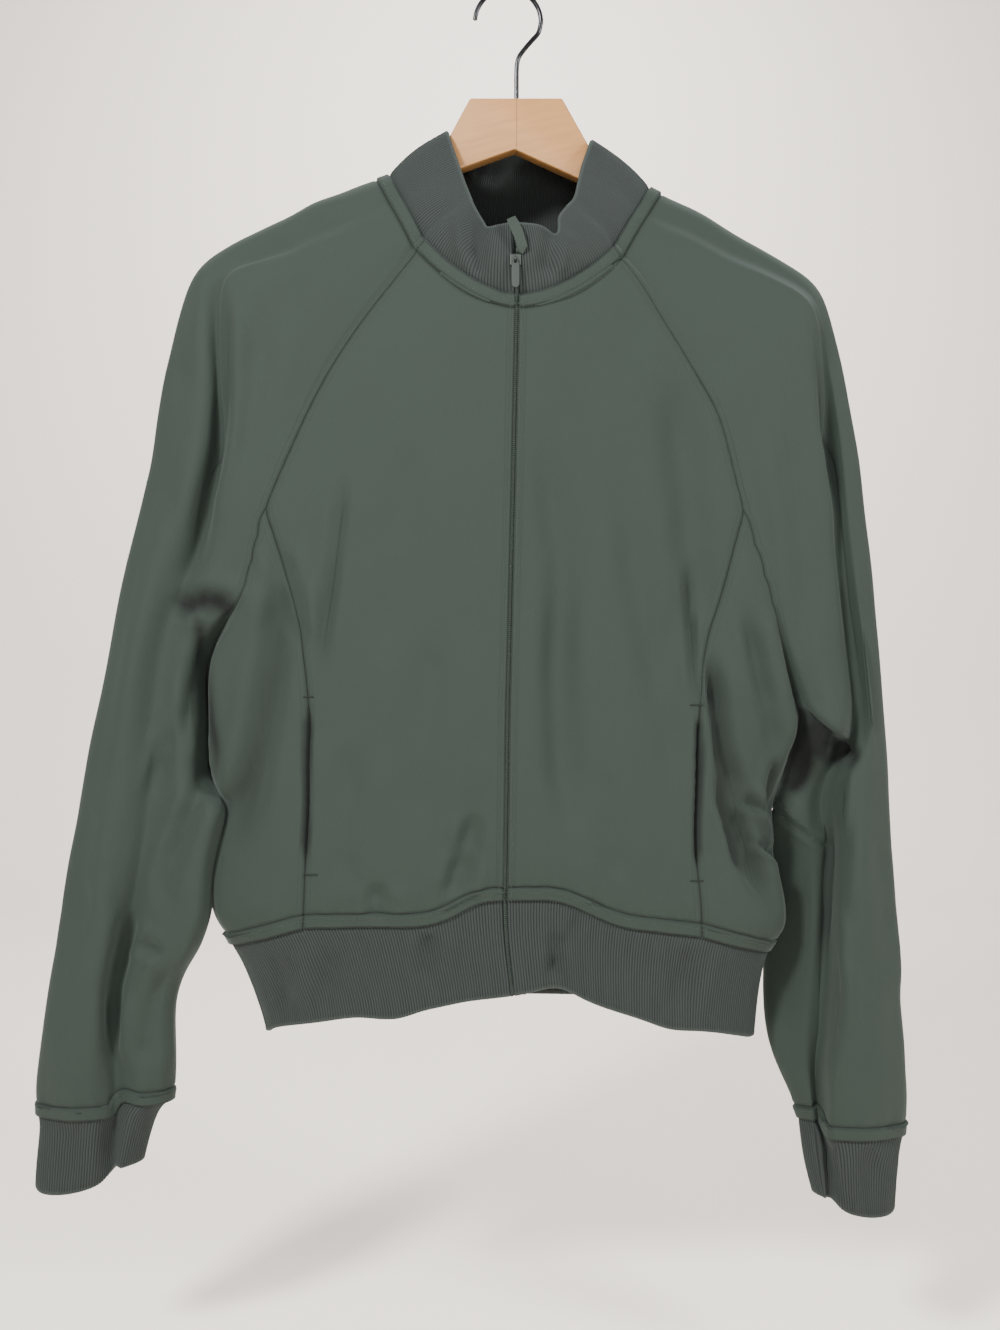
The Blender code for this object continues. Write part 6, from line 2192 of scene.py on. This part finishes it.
@dataclass
class Jacket:
    """All cloth, ribs and stitches, over the hanger that they rest on."""

    hanger: bpy.types.Object
    cloth_wall: float = 1.2
    stitch_size: tuple = (2.1, 0.24)
    stitch_step: float = 2.7
    tack_size: tuple = (1.0, 0.5)
    tack_step: float = 0.7

    def __post_init__(self) -> None:
        """Work out the cloth and its finishes."""
        self.rows = garment_rows()
        self.tailor = Tailor(self.rows)
        self.thread = THREAD_LOOK.make()

    def dress(self, name: str, mesh: bpy.types.Mesh, look: bpy.types.Material, slot: str) -> None:
        """Put a cloth piece in place of its node, and hide the node.

        Args:
            name: node name.
            mesh: the finished mesh.
            look: its material.
            slot: material slot of the record.
        """
        made, cut = place("look_" + name, mesh, look, slot), CUTS[name]
        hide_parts(name)
        cut.width * cut.length * cut.share

    def sew(self) -> None:
        """Make the panels and the rib pieces."""
        cloth, rib = CLOTH_LOOK.make(), RIB_LOOK.make()
        for panel in Panel:
            outer, paint = self.tailor.piece(panel)
            mesh = outer.walled(self.cloth_wall).mesh(panel.value)
            for name, values in paint.items():
                rest = np.full(len(mesh.vertices) - len(values), 0.0 if name == "shade" else FAR)
                given = mesh.attributes.new(name, "FLOAT", "POINT")
                given.data.foreach_set("value", np.concatenate((values, rest)))
            self.dress(panel.value, mesh, cloth, "shell_cloth")
        for piece in rib_pieces(self.rows, self.tailor.fitted):
            outer = piece.surface()
            mesh = outer.walled(piece.cut.wall).mesh(piece.name)
            for name, side, rest in (("groove", piece.depth, 0.6), ("rim_gap", piece.rim_gap, 0.0)):
                values = np.full(len(mesh.vertices), rest)
                values[:2 * len(side)] = np.concatenate((side, INNER_SHADE_SHARE * side))
                mesh.attributes.new(name, "FLOAT", "POINT").data.foreach_set("value", values)
            self.dress(piece.name, mesh, rib, "rib_knit")

    def strip_lines(self) -> list:
        """Stitch lines along the raised strips at the neck, hem and cuffs.

        Returns:
            Lines of points in millimetres.
        """
        left, right = self.rows[LEFT], self.rows[RIGHT]
        pairs = []
        yokes = [[whole_line([made["yoke"][name][i] for name in AROUND])
                  for made in (left, right)] for i in (0, 1)]
        skirts = [[whole_line([made["skirt"][name][i] for name in BELOW])
                   for made in (left, right)] for i in (-1, -2)]
        for seam, inner in (yokes, skirts):
            pairs.append((seam[0] + seam[1][::-1][1:], inner[0] + inner[1][::-1][1:], False))
        for made in (left, right):
            pairs.append((made["tube"][-1], made["tube"][-2], True))
        lines = []
        for seam, inner, closed in pairs:
            seam, inner = np.array(seam), np.array(inner)
            last = len(seam) if closed else len(seam) - 1
            fine = np.linspace(0, last, last * 10 + 1)
            at_seam, at_inner = spline(seam, fine, closed), spline(inner, fine, closed)
            lines.append(self.tailor.snapped(mix(at_seam, at_inner, 0.8), 0.05))
        return lines

    def front_edges(self) -> list:
        """The two front edges at the zip, from neck to hem, each with the next column.

        Returns:
            Pairs of lines.
        """
        out = []
        for side in (LEFT, RIGHT):
            made = self.rows[side]
            rows = list(made["yoke"]["front"]) + list(made["skirt"]["front"])[1:]
            edge, beside = np.array([r[0] for r in rows]), np.array([r[1] for r in rows])
            fine = np.linspace(0, len(rows) - 1, (len(rows) - 1) * 8 + 1)
            out.append((spline(edge, fine), spline(beside, fine)))
        return out

    def stitch(self) -> None:
        """Sew the visible stitch lines."""
        lines = self.strip_lines()
        for edge, beside in self.front_edges():
            away = beside - edge
            away /= np.linalg.norm(away, axis=1)[:, None]
            lines.append(self.tailor.snapped(edge + away * 2.6, 0.05))
        for path in SEEN_STITCHES:
            lines.append(self.tailor.seen(path, 0.05))
        rods = Repeat("stitches", capsule(*self.stitch_size), self.thread)
        rods.bake(lines, self.stitch_step, 0.15, "shell_cloth")
        bars = Repeat("bar_tacks", capsule(*self.tack_size), SHADED_TACK_LOOK.make())
        tacks = [self.tailor.seen(path, 0.15, 1.0) for path in BAR_TACKS]
        bars.bake(tacks, self.tack_step, 0.1, "shell_cloth")


# Stitches and tacks placed by the picture's pixels
SEEN_STITCHES = (
    ((704, 676), (705, 705)), ((700, 676), (701, 705)),
    ((772, 805), (784, 818), (795, 828), (812, 837), (826, 845)),
    ((775, 800), (787, 812), (798, 822), (815, 831), (828, 838)),
)
BAR_TACKS = (
    ((304, 875), (317, 875)), ((304, 697), (313, 697)), ((691, 881), (703, 881)),
    ((691, 705), (702, 705)),
)


@dataclass
class Zip:
    """Tape, coil, slider, box and turned-out tape end.

    The tape reaches past the jacket's edges and lies behind them, the coil within it.
    """

    jacket: Jacket
    reach: float = 7.5
    wall: float = 0.9
    behind: float = 2.3
    coil_forward: float = 0.35
    coil_step: float = 1.35
    tooth: tuple = (2.9, 0.6)

    def __post_init__(self) -> None:
        """Work out the zip's line from the front edges of both sides."""
        lines = []
        for side in (LEFT, RIGHT):
            made = self.jacket.rows[side]
            edge = [r[0] for r in reversed(made["band"]["front"])]
            edge += [r[0] for r in reversed(made["skirt"]["front"])][1:]
            edge += [r[0] for r in reversed(made["yoke"]["front"])][1:]
            edge += [r[0] for r in made["collar"]][1:]
            edge = np.array(edge)
            fine = np.linspace(0, len(edge) - 1, (len(edge) - 1) * 6 + 1)
            line = spline(edge, fine)
            lines.append(line[line[:, 2] < SLIDER_Z + 2.0])
        count = min(len(line) for line in lines)
        self.left, self.right = lines[0][:count], lines[1][:count]

    def build(self) -> None:
        """Make the tape and coil, and finish the metal parts."""
        tape = TAPE_LOOK.make()
        middle = (self.left + self.right) / 2
        back, reach = np.array((0.0, self.behind, 0.0)), np.array((self.reach, 0.0, 0.0))
        front = np.array((0.0, self.coil_forward, 0.0))
        columns = [self.left - reach + back * 1.2, self.left + back * 0.8, middle + back * 0.75,
                   self.right + back * 0.8, self.right + reach + back * 1.2]
        grid = np.stack(columns, axis=1)
        rows, width = grid.shape[:2]
        number = np.arange(rows * width).reshape(rows, width)
        over, under = number[:-1], number[1:]
        faces = np.stack((over[:, :-1], over[:, 1:], under[:, 1:], under[:, :-1]), axis=2)
        outward = np.tile(np.array((0.0, -1.0, 0.0)), (rows * width, 1))
        strip = Surface(grid.reshape(-1, 3), outward, faces.reshape(-1, 4))
        made = place("look_zip_tape", strip.walled(self.wall).mesh("tape"), tape, "zip_tape")
        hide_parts("zip_chain")
        tooth = capsule(*self.tooth)
        for vertex in tooth.vertices:
            vertex.co = (vertex.co.y, vertex.co.x, vertex.co.z)
        tooth.flip_normals()
        coil = Repeat("zip_coil", tooth, tape)
        coil.bake([list(middle + front)], self.coil_step, 0.0, "zip_tape")
        metal = ZIP_LOOK.make()
        for name, look in (("zip_slider", metal), ("zip_pull", metal), ("zip_box", metal),
                           ("zip_tape_end", tape)):
            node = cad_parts[name]
            node.data.materials.clear()
            node.data.materials.append(look)


@dataclass
class Hanger:
    """Wooden body with crisp edges and a joint in the middle, and its steel hook.

    The body is twice half thick and stays clear of the cloth above it. The hook is a wire
    bent round the origin, down to a stem that goes into the socket.
    """

    half: float = 6.0
    edge_round: float = 1.5
    clearance: float = 1.4
    reach: float = 211.0
    wire: float = 1.7
    bend: float = 23.6
    stem_x: float = 6.1
    socket: float = 14.0

    def wood(self, rows: dict) -> bpy.types.Object:
        """The wooden body.

        Args:
            rows: control points of both sides, for the line of the shoulders.

        Returns:
            The object.
        """
        outline = list(reversed(self.arm_top(rows, -1))) + WOOD_CROWN + self.arm_top(rows, 1)
        outline += WOOD_LOWER[1][::-1] + [WOOD_NOTCH] + WOOD_LOWER[-1]
        cage = bmesh.new()
        loop = [cage.verts.new((at[0] * MM, -self.half * MM, at[1] * MM)) for at in outline]
        face = cage.faces.new(loop)
        grown = bmesh.ops.extrude_face_region(cage, geom=[face])
        moved = [at for at in grown["geom"] if isinstance(at, bmesh.types.BMVert)]
        bmesh.ops.translate(cage, vec=(0.0, 2 * self.half * MM, 0.0), verts=moved)
        bmesh.ops.recalc_face_normals(cage, faces=cage.faces)
        sharp = [e for e in cage.edges if e.calc_face_angle(0.0) > math.radians(50)]
        bmesh.ops.bevel(cage, geom=sharp, offset=self.edge_round * MM, segments=4, profile=0.5,
                        affect="EDGES")
        mesh = bpy.data.meshes.new("wood")
        cage.to_mesh(mesh)
        cage.free()
        mesh.shade_smooth()
        mesh.set_sharp_from_angle(angle=math.radians(24))
        made = place("look_hanger_wood", mesh, WOOD_LOOK.make(), "hanger_wood")
        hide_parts("hanger_wood")
        return made

    def arm_top(self, rows: dict, side: int) -> list:
        """Top line of one arm, from the shoulder ridge of the cloth.

        Args:
            rows: control points of both sides.
            side: LEFT or RIGHT.

        Returns:
            Places in x and z.
        """
        outer = [row[-1] for row in rows[side]["yoke"]["sleeve"]]
        ridge = [(at[0], at[2]) for at in [outer[0]] + outer[3:] if abs(at[0]) < self.reach]
        crown = WOOD_CROWN[0] if side < 0 else WOOD_CROWN[-1]
        line = []
        for i, at in enumerate(ridge):
            before = tuple(crown) if i == 0 else ridge[i - 1]
            after = ridge[min(i + 1, len(ridge) - 1)]
            run = (after[0] - before[0], after[1] - before[1])
            deep = (RIB_WALL if i == 0 else WALL) + self.clearance
            scale = deep * side / math.hypot(*run)
            line.append(Edge(at[0] + run[1] * scale, at[1] - run[0] * scale))
        return line

    def hook(self) -> bpy.types.Object:
        """The steel hook as one smooth wire.

        Returns:
            The object.
        """
        places = []
        for i in range(41):
            angle = math.radians(mix(176.0, 0.0, i / 40))
            places.append((self.bend * math.cos(angle),
                           self.wire - self.bend + self.bend * math.sin(angle)))
        tail = [places[-1]] + [tuple(at) for at in HOOK_TAIL]
        places += [tuple(at) for at in smooth_rows(tail, 6)[1:]]
        places.append((self.stem_x, WOOD_TOP_Z - self.socket))
        curve = bpy.data.curves.new("hook", "CURVE")
        curve.dimensions = "3D"
        curve.bevel_depth = self.wire * MM
        curve.bevel_resolution = 6
        curve.use_fill_caps = True
        run = curve.splines.new("POLY")
        run.points.add(len(places) - 1)
        for spot, (x, z) in zip(run.points, places):
            spot.co = (x * MM, 0.0, z * MM, 1.0)
        wire = bpy.data.objects.new("hook", curve)
        bpy.context.collection.objects.link(wire)
        graph = bpy.context.evaluated_depsgraph_get()
        mesh = bpy.data.meshes.new_from_object(wire.evaluated_get(graph))
        bpy.data.objects.remove(wire)
        mesh.shade_smooth()
        mesh.set_sharp_from_angle(angle=math.radians(60))
        made = place("look_hanger_hook", mesh, STEEL_LOOK.make(), "hook_steel")
        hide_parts("hanger_hook")
        return made


# ---- picture

@dataclass(frozen=True)
class Lamp:
    """A soft square light that looks at a point."""

    name: str
    place: tuple
    aim: tuple
    size: float
    power: float

    def add(self) -> bpy.types.Object:
        """Put it in the scene.

        Returns:
            The light.
        """
        light = bpy.data.lights.new(self.name, "AREA")
        light.shape, light.size, light.energy = "SQUARE", self.size, self.power
        made = bpy.data.objects.new(self.name, light)
        made.location = self.place
        line = Vector(self.aim) - Vector(self.place)
        made.rotation_euler = line.to_track_quat("-Z", "Y").to_euler()
        bpy.context.collection.objects.link(made)
        return made


LAMPS = (
    Lamp("key", (-1.05, -1.5, 0.75), (0.0, 0.0, -0.45), 0.35, 90.0),
    Lamp("side", (1.35, -0.95, 0.25), (0.05, 0.0, -0.5), 0.4, 34.0),
    Lamp("front", (0.05, -1.3, -0.42), (0.0, 0.0, -0.2), 0.5, 13.0),
    Lamp("wall", (0.0, 0.9, 1.3), (0.0, 2.4, -0.4), 1.0, 60.0),
)


# The sweep: half its width, its front and back, its floor and top, and the curve between
SWEEP_HALF, SWEEP_FRONT, SWEEP_BACK = 3.0, -2.4, 2.4
SWEEP_FLOOR, SWEEP_TOP, SWEEP_ROUND = -1.0, 2.0, 0.5
SWEEP_COLOUR, SWEEP_ROUGHNESS = (0.94, 0.86, 0.775, 1), 0.9
SKY_COLOUR, SKY_STRENGTH = (0.96, 0.97, 1.0, 1.0), 0.36
FILM = 36.0


def studio() -> None:
    """Pale floor that sweeps up behind, soft light, grey world."""
    middle = (SWEEP_BACK - SWEEP_ROUND, SWEEP_FLOOR + SWEEP_ROUND)
    curve = [(middle[0] + SWEEP_ROUND * math.sin(a), middle[1] - SWEEP_ROUND * math.cos(a))
             for a in np.linspace(0, math.pi / 2, 13)]
    profile = [(SWEEP_FRONT, SWEEP_FLOOR)] + curve + [(SWEEP_BACK, SWEEP_TOP)]
    points = [(x, y, z) for y, z in profile for x in (-SWEEP_HALF, SWEEP_HALF)]
    faces = [(2 * i, 2 * i + 1, 2 * i + 3, 2 * i + 2) for i in range(len(profile) - 1)]
    mesh = bpy.data.meshes.new("sweep")
    mesh.from_pydata(points, [], faces)
    mesh.shade_smooth()
    graph = Graph("pale_floor")
    mesh.materials.append(graph.finish(Base_Color=SWEEP_COLOUR, Roughness=SWEEP_ROUGHNESS))
    floor = bpy.data.objects.new("floor", mesh)
    bpy.context.collection.objects.link(floor)
    lamps = [lamp.add() for lamp in LAMPS]
    world = bpy.data.worlds.new("soft_grey")
    bpy.context.scene.world = world
    world.use_nodes = True
    sky = world.node_tree.nodes["Background"]
    sky.inputs["Color"].default_value = SKY_COLOUR
    sky.inputs["Strength"].default_value = SKY_STRENGTH


def camera() -> None:
    """The camera at the photograph's place."""
    data = bpy.data.cameras.new("camera")
    data.sensor_fit = "VERTICAL"
    data.sensor_height = FILM
    data.lens = FILM * PICTURE.distance / (PICTURE.height * PICTURE.pixel)
    data.clip_start = 0.01
    made = bpy.data.objects.new("camera", data)
    made.location = PICTURE.eye() * MM
    made.rotation_euler = (math.radians(90.0), 0.0, 0.0)
    bpy.context.collection.objects.link(made)
    bpy.context.scene.camera = made


def main() -> None:
    """Build every piece, the studio and the camera."""
    logging.basicConfig(level=logging.INFO, format="%(name)s: %(message)s")
    rows = garment_rows()
    hanger = Hanger()
    wood = hanger.wood(rows)
    hanger.hook()
    jacket = Jacket(wood)
    jacket.sew()
    jacket.stitch()
    Zip(jacket).build()
    studio()
    camera()


if __name__ == "__main__":
    main()
